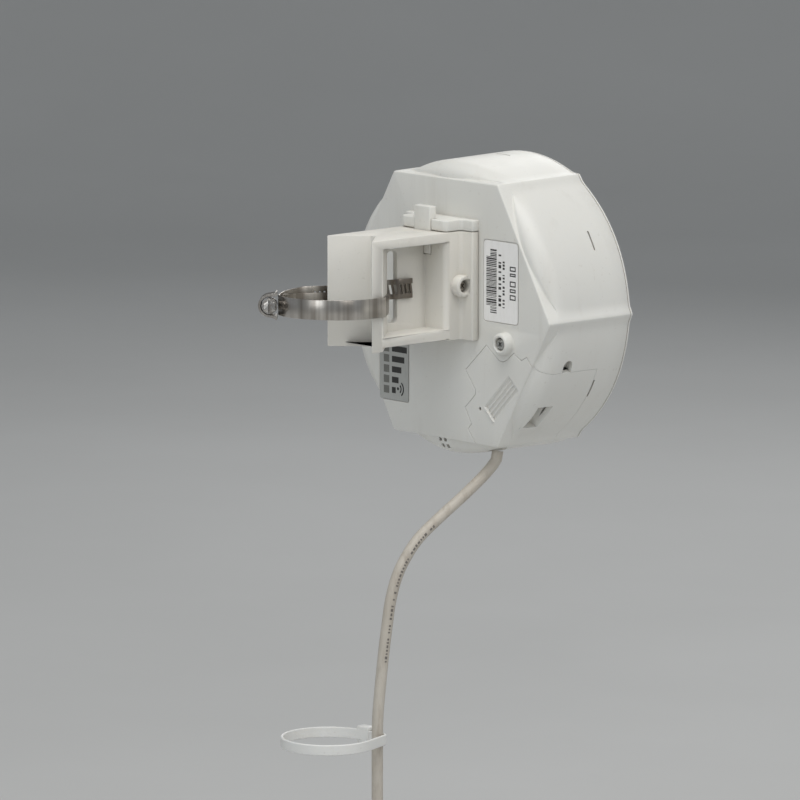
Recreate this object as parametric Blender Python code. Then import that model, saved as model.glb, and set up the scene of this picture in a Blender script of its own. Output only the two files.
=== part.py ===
"""Outdoor wireless bridge on a pole bracket.

Frame: the origin is on the pole's axis at the height of the hose clamp. +Z is up the pole,
+Y points from the pole to the antenna's front, and +X is to the right seen from the pole.
Lengths in the constants are millimetres; MM turns them into metres.
"""
import math

import bmesh
import bpy
from mathutils import Vector

MM = 0.001
GAP = 0.3

# Pole and clamp
POLE_R = 20.0
BAND_W = 9.0
BAND_T = 0.7
BAND_LAP = 1.15
BAND_TILT = (0.03, -0.06)
BAND_RISE = 1.6
SCREW_OUT = 25.6

# Case
CASE_Z = -6.5
BACK_Y = 71.7
RIM_Y = 121.7
FRONT_Y = 129.0
BACK_R = 69.2
RIM_R = 70.1
WALL = 2.2
BULGE = 7.1
BULGE_HALF = 28.0
SHOULDER = 8.5
SHOULDER_DROP = 6.3
RIM_STEP_Y = 119.5
COLLAR_T = 3.6

# Front cover's crown: how far in from the rim, and its share of the full height there
CROWN = ((1.0, 0.16), (3.0, 0.32), (8.0, 0.56), (18.0, 0.78), (32.0, 0.93), (48.0, 1.0))

# Bracket
BRACKET_TOP = 31.0
BRACKET_LOW = -18.5
PLATE_LOW = -19.5
PLATE_TOP = 30.6
FLANGE_T = 4.2
SADDLE_HALF = 15.0
SADDLE_APEX = 29.5
SADDLE_APEX_OUT = 36.4
SADDLE_FLAT = 1.6
SADDLE_SLOPE = 1.084
KNUCKLE_Y = 58.0
KNUCKLE_HALF = 15.2
BASE_Y = 67.7
BASE_HALF = 22.6
WEB_T = 3.0
WEB_SLOT = (34.7, 41.0, -9.5, 23.3)

# Rail between the case and the bracket
RAIL_HEAD = (7.0, 64.0, 67.5)
RAIL_NECK_HALF = 3.5
RAIL_LOW = -14.0
CAP_LOW = 31.3
CAP_TOP = 36.3
KEY_HALF = 5.3
KEY_Y = (57.4, 61.4)
KEY_Z = (20.4, 42.0)

# Bosses, labels and windows on the case's back, as x and height over the case's centre
BOSS_AT = (40.6, -11.5)
BOSS_R = 5.0
BOSS_HOLE_R = 3.0
BOSS_OUT = 4.5
BRACKET_BOSS = (66.4, 6.2)
BRACKET_BOSS_X = 19.6
RATING_AT = (25.9, 48.2, -2.4, 34.4)
STATUS_AT = (-43.9, -24.5, -46.0, -15.4)
LED_X = -39.4
LED_TOP = -22.2
LED_PITCH = 4.8
LED_SIZE = (3.6, 3.3)
PIN_HOLE = (23.3, -43.4)

# Cross recess of a screw, as half sizes of its two bars
DRIVE_CROSS = ((0.3, 1.3), (1.3, 0.3))

# Port door: its seam on the case's back, from the top corner round to the bottom edge
DOOR_SEAM = ((59.7, -20.1), (54.0, -16.3), (50.5, -18.2), (45.6, -15.4), (38.1, -21.4),
             (27.6, -13.6), (13.8, -26.4), (20.4, -35.2), (20.0, -37.5), (13.5, -43.7),
             (17.7, -50.9), (15.5, -53.5), (20.8, -60.1))
DOOR_FRONT = 107.0
GRIP_AT = (37.6, -37.1)
GRIP_LONG = 21.5
GRIP_PITCH = 2.1
EXIT_AT = (20.6, 85.5)
GROMMET_R = 4.2
INNER_PLUG_LOW = -46.0
INNER_LEAD = 11.0

# Boards and antenna
BOARD_Y = (77.5, 79.1)
BOARD_R = 54.0
REFLECTOR_Y = (107.6, 108.6)
FEED_Y = (111.6, 113.2)
PATCH_OFFSET = 19.0
PATCH = 17.0

# Cable: outer size, route and the coil of what is left over
CABLE_D = 5.2
CABLE_ROUTE = ((20.6, 85.5, -71.0), (20.6, 84.6, -75.0), (20.0, 78.4, -80.9), (19.0, 66.1, -89.4),
               (17.8, 52.5, -98.0), (16.6, 40.3, -106.6), (15.6, 33.2, -114.9),
               (14.8, 28.7, -122.9), (14.1, 25.6, -133.1), (13.5, 23.8, -145.0),
               (12.9, 22.0, -159.6), (12.5, 20.3, -175.2), (12.2, 19.3, -187.0),
               (12.1, 19.1, -198.0), (12.1, 19.1, -212.0), (12.1, 19.1, -226.0))
CABLE_HOLD = (12.1, 19.1)
CABLE_POINTS = 64
TIE_Z = -197.0
TIE_H = 4.8
COIL_R = 31.0
COIL_W = 22.0
COIL_T = 21.5
COIL_Z = -296.0
PLUG_LEAD = 9.0
PLUG_SIZE = (11.7, 8.0, 21.5)
TURN_PITCH = 5.2
LEAD_GAP = 0.6
LEAD_R = COIL_R + 1.5 * TURN_PITCH
FACET_STEPS = (-1.0, -0.86, -0.72, -0.5, -0.25, 0.0, 0.25, 0.5, 0.72, 0.86)


def clear_scene():
    for item in list(bpy.data.objects):
        bpy.data.objects.remove(item)


def material(name, colour, roughness, metallic=0.0):
    made = bpy.data.materials.new(name)
    made.use_nodes = True
    shader = made.node_tree.nodes["Principled BSDF"]
    shader.inputs["Base Color"].default_value = (*colour, 1.0)
    shader.inputs["Roughness"].default_value = roughness
    shader.inputs["Metallic"].default_value = metallic
    return made


CASE_WHITE = ((0.69, 0.70, 0.68), 0.45)
BRACKET_WHITE = ((0.70, 0.68, 0.64), 0.5)
LABEL_WHITE = ((0.85, 0.84, 0.82), 0.6)
LABEL_GREY = ((0.42, 0.43, 0.41), 0.6)
STEEL = ((0.45, 0.44, 0.42), 0.3, 1.0)
DARK = ((0.06, 0.06, 0.06), 0.5)
BOARD_GREEN = ((0.04, 0.19, 0.08), 0.5)
CABLE_BEIGE = ((0.50, 0.46, 0.39), 0.55)
GOLD = ((0.72, 0.53, 0.22), 0.3, 1.0)
CLEAR = ((0.65, 0.65, 0.62), 0.2)


def make(name, points, faces, look, smooth=True):
    """One closed solid from points in millimetres."""
    mesh = bpy.data.meshes.new(name)
    mesh.from_pydata([Vector(point) * MM for point in points], [], faces)
    flip = bmesh.new()
    flip.from_mesh(mesh)
    bmesh.ops.recalc_face_normals(flip, faces=flip.faces)
    flip.to_mesh(mesh)
    flip.free()
    if smooth:
        mesh.shade_smooth()
        mesh.set_sharp_from_angle(angle=math.radians(30))
    made = bpy.data.objects.new(name, mesh)
    bpy.context.scene.collection.objects.link(made)
    if look:
        made.data.materials.append(material(name, *look))
    return made


def rings(name, loops, look=None):
    """A closed solid through rings that all hold the same number of points, capped at both ends."""
    count = len(loops[0])
    points = [point for loop in loops for point in loop]
    faces = [list(range(count)), list(range(len(points) - count, len(points)))]
    for row in range(len(loops) - 1):
        for step in range(count):
            after = (step + 1) % count
            low = row * count
            high = low + count
            faces.append([low + step, low + after, high + after, high + step])
    return make(name, points, faces, look)


def prism(name, outline, low, high, axis="z", look=None):
    """An outline pushed along an axis: z takes (x, y), y takes (x, z), x takes (y, z)."""
    loops = []
    for level in (low, high):
        placed = {"z": [(a, b, level) for a, b in outline],
                  "y": [(a, level, b) for a, b in outline],
                  "x": [(level, a, b) for a, b in outline]}
        loops.append(placed[axis])
    return rings(name, loops, look)


def block(name, low, high, look=None):
    return prism(name, rectangle(low[0], high[0], low[1], high[1]), low[2], high[2], "z", look)


def rectangle(x0, x1, y0, y1):
    return [(x0, y0), (x1, y0), (x1, y1), (x0, y1)]


def rounded(x0, x1, y0, y1, radius, steps=4):
    corners = ((x1 - radius, y1 - radius, 0), (x0 + radius, y1 - radius, 90),
               (x0 + radius, y0 + radius, 180), (x1 - radius, y0 + radius, 270))
    return [point for x, y, start in corners for point in arc(x, y, radius, start, start + 90, steps)]


def arc(x, y, radius, start, end, steps):
    turns = [math.radians(start + (end - start) * step / steps) for step in range(steps + 1)]
    return [(x + radius * math.cos(turn), y + radius * math.sin(turn)) for turn in turns]


def circle(x, y, radius, sides=24):
    return arc(x, y, radius, 0, 360 * (sides - 1) / sides, sides - 1)


def turned(name, profile, centre, axis, look=None, sides=24):
    """Rings of (radius, along) about an axis through centre."""
    along = Vector(axis).normalized()
    side = along.orthogonal().normalized()
    other = along.cross(side)
    loops = []
    for radius, length in profile:
        loop = []
        for step in range(sides):
            turn = 2 * math.pi * step / sides
            spoke = side * math.cos(turn) + other * math.sin(turn)
            loop.append(Vector(centre) + along * length + spoke * radius)
        loops.append(loop)
    return rings(name, loops, look)


def combine(target, operation, tools):
    """Boolean the hidden tools into target."""
    for tool in tools:
        tool.hide_render = True
        tool.display_type = "WIRE"
        step = target.modifiers.new(operation.title(), "BOOLEAN")
        step.operation = operation
        step.object = tool
        step.solver = "EXACT"
    return target


def cut(target, *tools):
    return combine(target, "DIFFERENCE", tools)


def join(target, *tools):
    return combine(target, "UNION", tools)


def inset(outline, amount):
    """Move each side of a counter-clockwise outline inwards."""
    moved = []
    for index, point in enumerate(outline):
        before = Vector(outline[index - 1])
        here = Vector(point)
        after = Vector(outline[(index + 1) % len(outline)])
        first = (here - before).normalized()
        second = (after - here).normalized()
        first_in = Vector((-first.y, first.x))
        second_in = Vector((-second.y, second.x))
        middle = (first_in + second_in).normalized()
        moved.append(tuple(here + middle * (amount / middle.dot(first_in))))
    return moved


# Case outline ---------------------------------------------------------------------------------

def apothem(y):
    share = (y - BACK_Y) / (RIM_Y - BACK_Y)
    return (BACK_R + (RIM_R - BACK_R) * share) * math.cos(math.radians(30))


def bulge_out(across, y, rise):
    """How far a facet stands out beyond its flat, across its width and at depth y."""
    share = min(abs(across) / BULGE_HALF, 1.0)
    start = BACK_Y + 0.3 + SHOULDER_DROP * share * share
    run = min(max((y - start) / SHOULDER, 0.0), 1.0)
    return rise * (1 - share * share) * math.sqrt(1 - (1 - run) ** 2)


def case_ring(y, inward=0.0, level=None, rise=BULGE):
    """The case's outline at depth y, moved inward, as points at height level (or y)."""
    flat = apothem(min(y, RIM_Y)) - inward
    half = flat * math.tan(math.radians(30))
    loop = []
    for facet in range(6):
        turn = math.radians(30 + 60 * facet)
        normal = Vector((math.cos(turn), math.sin(turn)))
        along = Vector((-math.sin(turn), math.cos(turn)))
        for step in FACET_STEPS:
            across = half * step
            spread = across * (BULGE_HALF / (half * 0.86)) if abs(step) < 0.86 else BULGE_HALF
            out = flat + bulge_out(spread, y, rise)
            spot = normal * out + along * across
            loop.append((spot.x, y if level is None else level, CASE_Z + spot.y))
    return loop


def on_facet(turn_deg, out, across, y):
    turn = math.radians(turn_deg)
    x = out * math.cos(turn) - across * math.sin(turn)
    z = out * math.sin(turn) + across * math.cos(turn)
    return (x, y, CASE_Z + z)


def facet_prism(name, turn_deg, shape, out0, out1):
    """A cutter through a facet's wall: shape is (across, y), pushed along the facet's normal."""
    loops = [[on_facet(turn_deg, out, across, y) for across, y in shape] for out in (out0, out1)]
    return rings(name, loops)


def shell_solid(name, look):
    outer = [case_ring(BACK_Y, 0.7), case_ring(BACK_Y + 0.7)]
    outer += [case_ring(y) for y in (73.6, 75.2, 77.0, 79.0, 81.5, 85.0, 100.0, RIM_Y - 1.0)]
    outer.append(case_ring(RIM_Y, 0.5))
    inner = [case_ring(RIM_Y, WALL), case_ring(RIM_STEP_Y, WALL)]
    inner += [case_ring(RIM_STEP_Y, COLLAR_T), case_ring(115.0, COLLAR_T), case_ring(112.6, WALL)]
    inner += [case_ring(y, WALL, y + WALL) for y in (100.0, 85.0, 80.0, 76.0, 73.8)]
    inner.append(case_ring(BACK_Y + 0.4, WALL, BACK_Y + WALL))
    return rings(name, outer + inner, look)


def door_region():
    """The seam, closed well outside the case past the lower right facet."""
    out = Vector((math.cos(math.radians(-30)), math.sin(math.radians(-30)))) * 20
    corner = Vector(DOOR_SEAM[0]) + out
    return [(DOOR_SEAM[-1][0], -85.0), (90.0, -85.0), tuple(corner)] + list(DOOR_SEAM)


def door_prism(name, gap, front):
    outline = [(x, z + CASE_Z) for x, z in inset(door_region(), gap)]
    return prism(name, outline, BACK_Y - 8.0, front, "y")


def exit_cut(name):
    x, y = EXIT_AT
    outline = circle(x, y, GROMMET_R + GAP, 20)
    return prism(name, outline, CASE_Z - 75.0, CASE_Z - 58.5)


def rear_shell():
    shell = shell_solid("rear_shell", CASE_WHITE)
    join(shell, rail_solid())
    join(shell, *[boss(side) for side in (-1, 1)])
    join(shell, *[standoff(x, z, index) for index, (x, z) in enumerate(board_holes())])
    cut(shell, door_prism("door_opening", 0.0, DOOR_FRONT + GAP), exit_cut("shell_exit"))
    cut(shell, label_recess("rating_recess", RATING_AT, 1.5),
        label_recess("status_recess", STATUS_AT, 0.6))
    cut(shell, *[boss_hole(side) for side in (-1, 1)])
    cut(shell, *[led_hole(row) for row in range(5)])
    cut(shell, *[latch_slit(turn) for turn in (30, 90, 150, 210, 270, -30)])
    cut(shell, *[vent(row, column) for row in range(2) for column in range(2)])
    arch = [(11.0, 82.0)] + arc(16.3, 84.7, 2.7, -90, 90, 6) + [(11.0, 87.4)]
    cut(shell, facet_prism("door_arch", -30, arch, 62.5, 72.0))
    return shell


def hat_outline(front, half_extra=0.0):
    """Plan of the knuckle and its base plate, with a rounded shoulder and a filleted foot."""
    side = KNUCKLE_HALF + half_extra
    right = arc(side - 2.7, KNUCKLE_Y + 2.7, 2.7, -90, 0, 4)
    right += arc(side + 2.0, BASE_Y - 2.0, 2.0, 180, 90, 3)
    right += arc(BASE_HALF - 0.8, BASE_Y + 0.8, 0.8, -90, 0, 2)
    right.append((BASE_HALF, front))
    return right + [(-x, y) for x, y in right[::-1]]


def rail_solid():
    cap = prism("rail_cap", hat_outline(BACK_Y + 1.0), CAP_LOW, CAP_TOP)
    half, near, far = RAIL_HEAD
    head = [(half, near), (half, far), (RAIL_NECK_HALF, far), (RAIL_NECK_HALF, BACK_Y + 1.0)]
    rail = prism("rail", head + [(-x, y) for x, y in head[::-1]], RAIL_LOW, CAP_LOW + 1.0)
    notch = block("cap_notch", (-KEY_HALF - 0.4, 50.0, CAP_LOW - 1.0), (KEY_HALF + 0.4, 62.0, CAP_TOP + 1.0))
    join(cap, rail)
    return cut(cap, notch)


def boss(side):
    x, z = BOSS_AT
    low = BACK_Y - BOSS_OUT
    profile = [(BOSS_R - 0.6, 0.0), (BOSS_R, 0.6), (BOSS_R, BOSS_OUT + 1.0)]
    return turned("back_boss", profile, (side * x, low, CASE_Z + z), (0, 1, 0))


def boss_hole(side):
    x, z = BOSS_AT
    low = BACK_Y - BOSS_OUT
    profile = [(BOSS_HOLE_R, -1.0), (BOSS_HOLE_R, 3.4), (1.9, 3.4), (1.9, 9.0)]
    return turned("boss_hole", profile, (side * x, low, CASE_Z + z), (0, 1, 0))


def case_screw(side):
    x, z = BOSS_AT
    low = BACK_Y - BOSS_OUT
    profile = [(1.6, 0.9), (2.5, 1.5), (2.6, 3.1), (1.6, 3.1), (1.6, 7.8), (0.7, 9.2)]
    name = "case_screw_" + ("right" if side > 0 else "left")
    screw = turned(name, profile, (side * x, low, CASE_Z + z), (0, 1, 0), STEEL)
    y = low + 0.9
    slots = [block("drive", (side * x - a, y - 1, CASE_Z + z - b),
                   (side * x + a, y + 0.8, CASE_Z + z + b)) for a, b in DRIVE_CROSS]
    return cut(screw, *slots)


def board_holes():
    return [(34.0, 25.0), (-34.0, 25.0), (-30.0, -34.0), (4.0, -44.0)]


def standoff(x, z, index):
    profile = [(2.8, 0.0), (2.8, BOARD_Y[0] - GAP - BACK_Y - 1.0)]
    post = turned("standoff_%d" % index, profile, (x, BACK_Y + 1.0, CASE_Z + z), (0, 1, 0), sides=12)
    bore = turned("standoff_bore", [(1.4, 0.0), (1.4, 6.0)], (x, 74.6, CASE_Z + z), (0, 1, 0), sides=12)
    return cut(post, bore)


def label_recess(name, box, radius):
    x0, x1, z0, z1 = box
    outline = rounded(x0 - GAP, x1 + GAP, CASE_Z + z0 - GAP, CASE_Z + z1 + GAP, radius + GAP)
    return prism(name, outline, BACK_Y - 1.0, BACK_Y + 0.5, "y")


def label(name, box, radius, look):
    x0, x1, z0, z1 = box
    outline = rounded(x0, x1, CASE_Z + z0, CASE_Z + z1, radius)
    return prism(name, outline, BACK_Y, BACK_Y + 0.3, "y", look)


def led_box(name, row, grow, near, far, look=None):
    z = CASE_Z + LED_TOP - row * LED_PITCH
    wide, tall = LED_SIZE
    low = (LED_X - wide / 2 - grow, near, z - tall / 2 - grow)
    high = (LED_X + wide / 2 + grow, far, z + tall / 2 + grow)
    return block(name, low, high, look)


def led_hole(row):
    return led_box("led_hole", row, GAP, BACK_Y - 1.0, BACK_Y + 4.0)


def led_window(row):
    return led_box("led_window_%d" % (row + 1), row, 0.0, BACK_Y + 0.6, BACK_Y + 3.0, CLEAR)


def led_strip():
    low = CASE_Z + LED_TOP - 4 * LED_PITCH - 1.4
    high = CASE_Z + LED_TOP + 2.0
    strip = block("led_strip", (-41.2, 75.8, low), (-35.4, 76.8, high), BOARD_GREEN)
    chips = []
    for row in range(5):
        z = CASE_Z + LED_TOP - row * LED_PITCH
        chips.append(block("led_chip", (LED_X - 0.8, 75.1, z - 0.8), (LED_X + 0.8, 76.0, z + 0.8)))
    return join(strip, *chips)


def latch_slit(turn):
    y = DOOR_FRONT + 0.2
    return facet_prism("latch_slit", turn, rectangle(-4.8, 4.8, y, y + 0.9), 64.0, 73.0)


def vent(row, column):
    x = -4.6 + 2.6 * column + 1.2 * row
    z = CASE_Z - 61.0 - 2.3 * row
    return prism("vent", rectangle(x, x + 1.1, z - 1.3, z), 70.0, 77.5, "y")


# Door -----------------------------------------------------------------------------------------

def grip_frame():
    turn = math.radians(45)
    return Vector((math.cos(turn), math.sin(turn))), Vector((math.sin(turn), -math.cos(turn)))


def grip_groove(row):
    along, across = grip_frame()
    middle = Vector(GRIP_AT) + across * (row - 1.5) * GRIP_PITCH
    corners = []
    for a, b in ((-1, -1), (1, -1), (1, 1), (-1, 1)):
        spot = middle + along * a * GRIP_LONG / 2 + across * b * 0.62
        corners.append((spot.x, CASE_Z + spot.y))
    return prism("grip_groove", corners, BACK_Y - 1.0, BACK_Y + 0.9, "y")


def scoop():
    """A wedge through the facet's wall, deep at the back and running out to the front."""
    flat = apothem(84.0)
    loops = []
    for across in (-22.0, -8.0):
        section = ((80.0, flat + 11.0), (80.0, flat + 0.5), (88.5, flat + 8.6), (88.5, flat + 11.0))
        loops.append([on_facet(-30, out, across, y) for y, out in section])
    return rings("scoop", loops)


def port_door():
    door = shell_solid("port_door", CASE_WHITE)
    combine(door, "INTERSECT", [door_prism("door_part", GAP, DOOR_FRONT)])
    cut(door, *[grip_groove(row) for row in range(4)])
    cut(door, scoop(), exit_cut("door_exit"))
    x, z = PIN_HOLE
    hole = turned("pin_hole", [(0.7, 0.0), (0.7, 8.0)], (x, BACK_Y - 2.0, CASE_Z + z), (0, 1, 0), sides=12)
    return cut(door, hole)


# Front ----------------------------------------------------------------------------------------

def front_cover():
    near = RIM_Y + GAP
    crown = FRONT_Y - near
    outer = [case_ring(RIM_Y, 0.5, near), case_ring(RIM_Y, 0.0, near + 0.4)]
    outer.append(case_ring(RIM_Y, 0.1, near + 0.8))
    for inward, share in CROWN:
        outer.append(case_ring(RIM_Y, inward, near + crown * share, BULGE * (1 - inward / 60)))
    inner = []
    for inward, share in CROWN[:1:-1] + ((5.0, 0.43),):
        level = near + crown * share - 2.0
        inner.append(case_ring(RIM_Y, inward, level, BULGE * (1 - inward / 60)))
    inner += [case_ring(RIM_Y, 3.9, near + 0.8), case_ring(RIM_Y, 3.9, RIM_STEP_Y + 1.9)]
    inner += [case_ring(RIM_Y, 2.6, RIM_STEP_Y + 1.9), case_ring(RIM_Y, 2.6, near)]
    cover = rings("front_cover", inner + outer, CASE_WHITE)
    return join(cover, *[latch_arm(turn) for turn in (30, 90, 150, 210, 270, -30)])


def latch_arm(turn):
    """A snap arm behind each facet's slit, with its nib in the slit."""
    face = apothem(RIM_Y) + BULGE - COLLAR_T - 0.5
    y = DOOR_FRONT + 0.65
    section = ((face - 1.6, RIM_Y + 2.4), (face - 1.6, y - 1.8), (face, y - 1.8), (face, y - 0.2),
               (face + 2.3, y - 0.2), (face + 2.3, y + 0.2), (face, y + 0.6), (face, RIM_Y + 2.4))
    loops = [[on_facet(turn, out, across, depth) for out, depth in section] for across in (-4.2, 4.2)]
    return rings("latch_arm", loops)


def housing_seal():
    near = RIM_STEP_Y + GAP
    far = RIM_STEP_Y + 1.6
    loops = [case_ring(RIM_Y, 2.6, near), case_ring(RIM_Y, 3.5, near), case_ring(RIM_Y, 3.5, far),
             case_ring(RIM_Y, 2.6, far)]
    return hoop("housing_seal", loops, DARK)


def hoop(name, loops, look):
    """A closed band: the last ring joins back onto the first."""
    count = len(loops[0])
    points = [point for loop in loops for point in loop]
    faces = []
    for row in range(len(loops)):
        for step in range(count):
            after = (step + 1) % count
            low = row * count
            high = ((row + 1) % len(loops)) * count
            faces.append([low + step, low + after, high + after, high + step])
    return make(name, points, faces, look)


# Inside ---------------------------------------------------------------------------------------

def hexagon(radius):
    return [(radius * math.cos(math.radians(60 * k)), CASE_Z + radius * math.sin(math.radians(60 * k)))
            for k in range(6)]


def main_board():
    board = prism("main_board", hexagon(BOARD_R), *BOARD_Y, "y", BOARD_GREEN)
    near, far = BOARD_Y
    holes = [prism("board_hole", circle(x, CASE_Z + z, 1.6, 12), near - 1, far + 1, "y")
             for x, z in board_holes()]
    return cut(board, *holes)


def board_screw(index):
    x, z = board_holes()[index]
    profile = [(1.1, -4.0), (1.1, GAP), (2.4, GAP), (2.4, 1.4), (1.8, 2.0)]
    return turned("board_screw_%d" % (index + 1), profile, (x, BOARD_Y[1], CASE_Z + z), (0, 1, 0), STEEL, 12)


def rf_shield():
    low = (-26.0, BOARD_Y[1] + GAP, CASE_Z - 10.0)
    high = (6.0, BOARD_Y[1] + 5.0, CASE_Z + 22.0)
    can = block("rf_shield", low, high, STEEL)
    hollow = block("shield_hollow", (low[0] + 0.6, low[1] - 1, low[2] + 0.6),
                   (high[0] - 0.6, high[1] - 0.6, high[2] - 0.6))
    return cut(can, hollow)


def ethernet_jack():
    """The socket stands on the board and opens downwards."""
    x, y = EXIT_AT
    low = (x - 8.2, BOARD_Y[1] + GAP, CASE_Z - 41.0)
    high = (x + 8.2, y + 7.0, CASE_Z - 20.0)
    jack = block("ethernet_jack", low, high, DARK)
    hollow = block("jack_hollow", (x - 6.2, y - 4.4, low[2] - 1), (x + 6.2, y + 4.4, high[2] - 4.0))
    return cut(jack, hollow)


def inner_plug():
    x, y = EXIT_AT
    wide, deep, tall = PLUG_SIZE
    low = (x - wide / 2, y - deep / 2, CASE_Z + INNER_PLUG_LOW)
    high = (x + wide / 2, y + deep / 2, CASE_Z + INNER_PLUG_LOW + tall)
    return block("inner_plug", low, high, CLEAR)


def inner_lead():
    x, y = EXIT_AT
    profile = [(CABLE_D / 2, 0.0), (CABLE_D / 2, INNER_LEAD)]
    low = CASE_Z + INNER_PLUG_LOW - GAP - INNER_LEAD
    return turned("inner_lead", profile, (x, y, low), (0, 0, 1), CABLE_BEIGE, 12)


def cable_grommet():
    x, y = EXIT_AT
    low = CABLE_ROUTE[0][2] + 2 * GAP
    top = CASE_Z + INNER_PLUG_LOW - 2 * GAP - INNER_LEAD
    return turned("cable_grommet", [(3.6, 0.0), (GROMMET_R, 1.2), (GROMMET_R, top - low)], (x, y, low),
                  (0, 0, 1), DARK, 20)


def reset_switch():
    x, z = PIN_HOLE
    body = block("reset_switch", (x - 3.0, 75.6, CASE_Z + z - 3.0),
                 (x + 3.0, BOARD_Y[0] - GAP, CASE_Z + z + 3.0), DARK)
    well = turned("switch_well", [(1.4, 0.0), (1.4, 3.0)], (x, 73.9, CASE_Z + z), (0, 1, 0), sides=16)
    return cut(body, well)


def reset_button():
    x, z = PIN_HOLE
    made = turned("reset_button", [(1.0, 0.0), (1.1, 0.2), (1.1, 1.8)], (0, 0, 0), (0, 1, 0), LABEL_WHITE, 16)
    made.location = (x * MM, 74.5 * MM, (CASE_Z + z) * MM)
    return made


def antenna_reflector():
    tray = prism("antenna_reflector", hexagon(60.0), *REFLECTOR_Y, "y", STEEL)
    near, far = REFLECTOR_Y
    holes = [prism("reflector_hole", circle(x, CASE_Z + z, 3.0, 12), near - 5, far + 5, "y")
             for x, z in feed_points()]
    return cut(tray, *holes)


def feed_points():
    return [(-8.0, 30.0), (8.0, 30.0)]


def feed_board():
    return prism("feed_board", rounded(-32, 32, CASE_Z - 32, CASE_Z + 32, 3.0), *FEED_Y, "y", BOARD_GREEN)


def antenna_patch(index):
    x = PATCH_OFFSET * (1 if index % 2 else -1)
    z = CASE_Z + PATCH_OFFSET * (1 if index > 1 else -1)
    outline = rectangle(x - PATCH / 2, x + PATCH / 2, z - PATCH / 2, z + PATCH / 2)
    return prism("antenna_patch_%d" % (index + 1), outline, FEED_Y[1] + GAP, FEED_Y[1] + 0.8, "y", GOLD)


def feed_spacer(index):
    x = 28.0 * (1 if index % 2 else -1)
    z = CASE_Z + 28.0 * (1 if index > 1 else -1)
    length = FEED_Y[0] - REFLECTOR_Y[1] - 2 * GAP
    return turned("feed_spacer_%d" % (index + 1), [(2.5, 0.0), (2.5, length)],
                  (x, REFLECTOR_Y[1] + GAP, z), (0, 1, 0), LABEL_WHITE, 12)


def rf_feed_pin(index):
    x, z = feed_points()[index]
    start = BOARD_Y[1] + GAP
    return turned("rf_feed_pin_%d" % (index + 1), [(1.2, 0.0), (1.2, FEED_Y[0] - GAP - start)],
                  (x, start, CASE_Z + z), (0, 1, 0), GOLD, 12)


# Bracket --------------------------------------------------------------------------------------

def saddle_plate():
    half = SADDLE_HALF
    inner_tip = SADDLE_APEX - half * SADDLE_SLOPE
    outer_tip = SADDLE_APEX_OUT - half * SADDLE_SLOPE
    flat_y = SADDLE_APEX - SADDLE_FLAT * SADDLE_SLOPE
    outline = [(half, inner_tip), (half, outer_tip), (0.0, SADDLE_APEX_OUT), (-half, outer_tip),
               (-half, inner_tip), (-SADDLE_FLAT, flat_y), (SADDLE_FLAT, flat_y)]
    return prism("pole_bracket", outline, PLATE_LOW, PLATE_TOP, "z", BRACKET_WHITE)


def flange(name, low, high):
    half = SADDLE_HALF - 0.05
    tip = SADDLE_APEX_OUT - half * SADDLE_SLOPE - 0.6
    outline = [(half, tip), (half, KNUCKLE_Y + 3.5), (-half, KNUCKLE_Y + 3.5), (-half, tip),
               (0.0, SADDLE_APEX_OUT - 0.6)]
    return prism(name, outline, low, high)


def bracket_boss(side):
    y, z = BRACKET_BOSS
    profile = [(BOSS_R, 0.0), (BOSS_R, BRACKET_BOSS_X - 13.6), (BOSS_R - 0.6, BRACKET_BOSS_X - 13.0)]
    return turned("knuckle_boss", profile, (side * 13.0, y, z), (side, 0, 0))


def bracket_bore(side):
    y, z = BRACKET_BOSS
    profile = [(1.9, 0.0), (1.9, 3.4), (2.9, 3.4), (2.9, 9.0)]
    return turned("knuckle_bore", profile, (side * 12.0, y, z), (side, 0, 0))


def bracket_screw(side):
    y, z = BRACKET_BOSS
    name = "bracket_screw_" + ("right" if side > 0 else "left")
    profile = [(0.6, 0.4), (1.5, 1.6), (1.5, 3.7), (2.5, 3.7), (2.4, 4.9), (1.5, 5.5)]
    screw = turned(name, profile, (side * 12.0, y, z), (side, 0, 0), STEEL)
    x = 12.0 + 4.9
    near, far = sorted((side * x, side * 20.0))
    slots = [block("drive", (near, y - a, z - b), (far, y + a, z + b)) for a, b in DRIVE_CROSS]
    return cut(screw, *slots)


def pole_bracket():
    bracket = saddle_plate()
    near, far, low, high = WEB_SLOT
    web = block("web", (-WEB_T / 2, SADDLE_APEX_OUT - 2.5, BRACKET_LOW + 2),
                (WEB_T / 2, KNUCKLE_Y + 2, BRACKET_TOP - 2))
    knuckle = prism("knuckle", hat_outline(BACK_Y - GAP), BRACKET_LOW, BRACKET_TOP)
    join(bracket, web, flange("top_flange", BRACKET_TOP - 0.2 - FLANGE_T, BRACKET_TOP - 0.2),
         flange("low_flange", PLATE_LOW + 1.9, PLATE_LOW + 1.9 + FLANGE_T), knuckle)
    join(bracket, *[bracket_boss(side) for side in (-1, 1)])
    slot = prism("band_slot", rounded(near, far, low, high, 2.4), -2.6, 2.6, "x")
    half, head_near, head_far = RAIL_HEAD
    rail_half = half + 0.4
    neck = RAIL_NECK_HALF + 0.4
    rail = [(rail_half, head_near - 0.4), (rail_half, head_far + 0.4)]
    rail += [(neck, head_far + 0.4), (neck, BACK_Y + 1)]
    rail += [(-x, y) for x, y in rail[::-1]]
    channel = prism("rail_channel", rail, RAIL_LOW - 0.5, BRACKET_TOP + 1)
    key = block("key_slot", (-KEY_HALF - 0.4, KEY_Y[0] - 0.4, KEY_Z[0] - 0.8),
                (KEY_HALF + 0.4, KEY_Y[1] + 0.4, BRACKET_TOP + 1))
    cut(bracket, slot, channel, key)
    return cut(bracket, *[bracket_bore(side) for side in (-1, 1)])


def lock_key():
    low, high = KEY_Z
    body = rounded(-KEY_HALF, KEY_HALF, low, high, 0.8, 2)
    return prism("lock_key", body, KEY_Y[0], KEY_Y[1], "y", CASE_WHITE)


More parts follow.
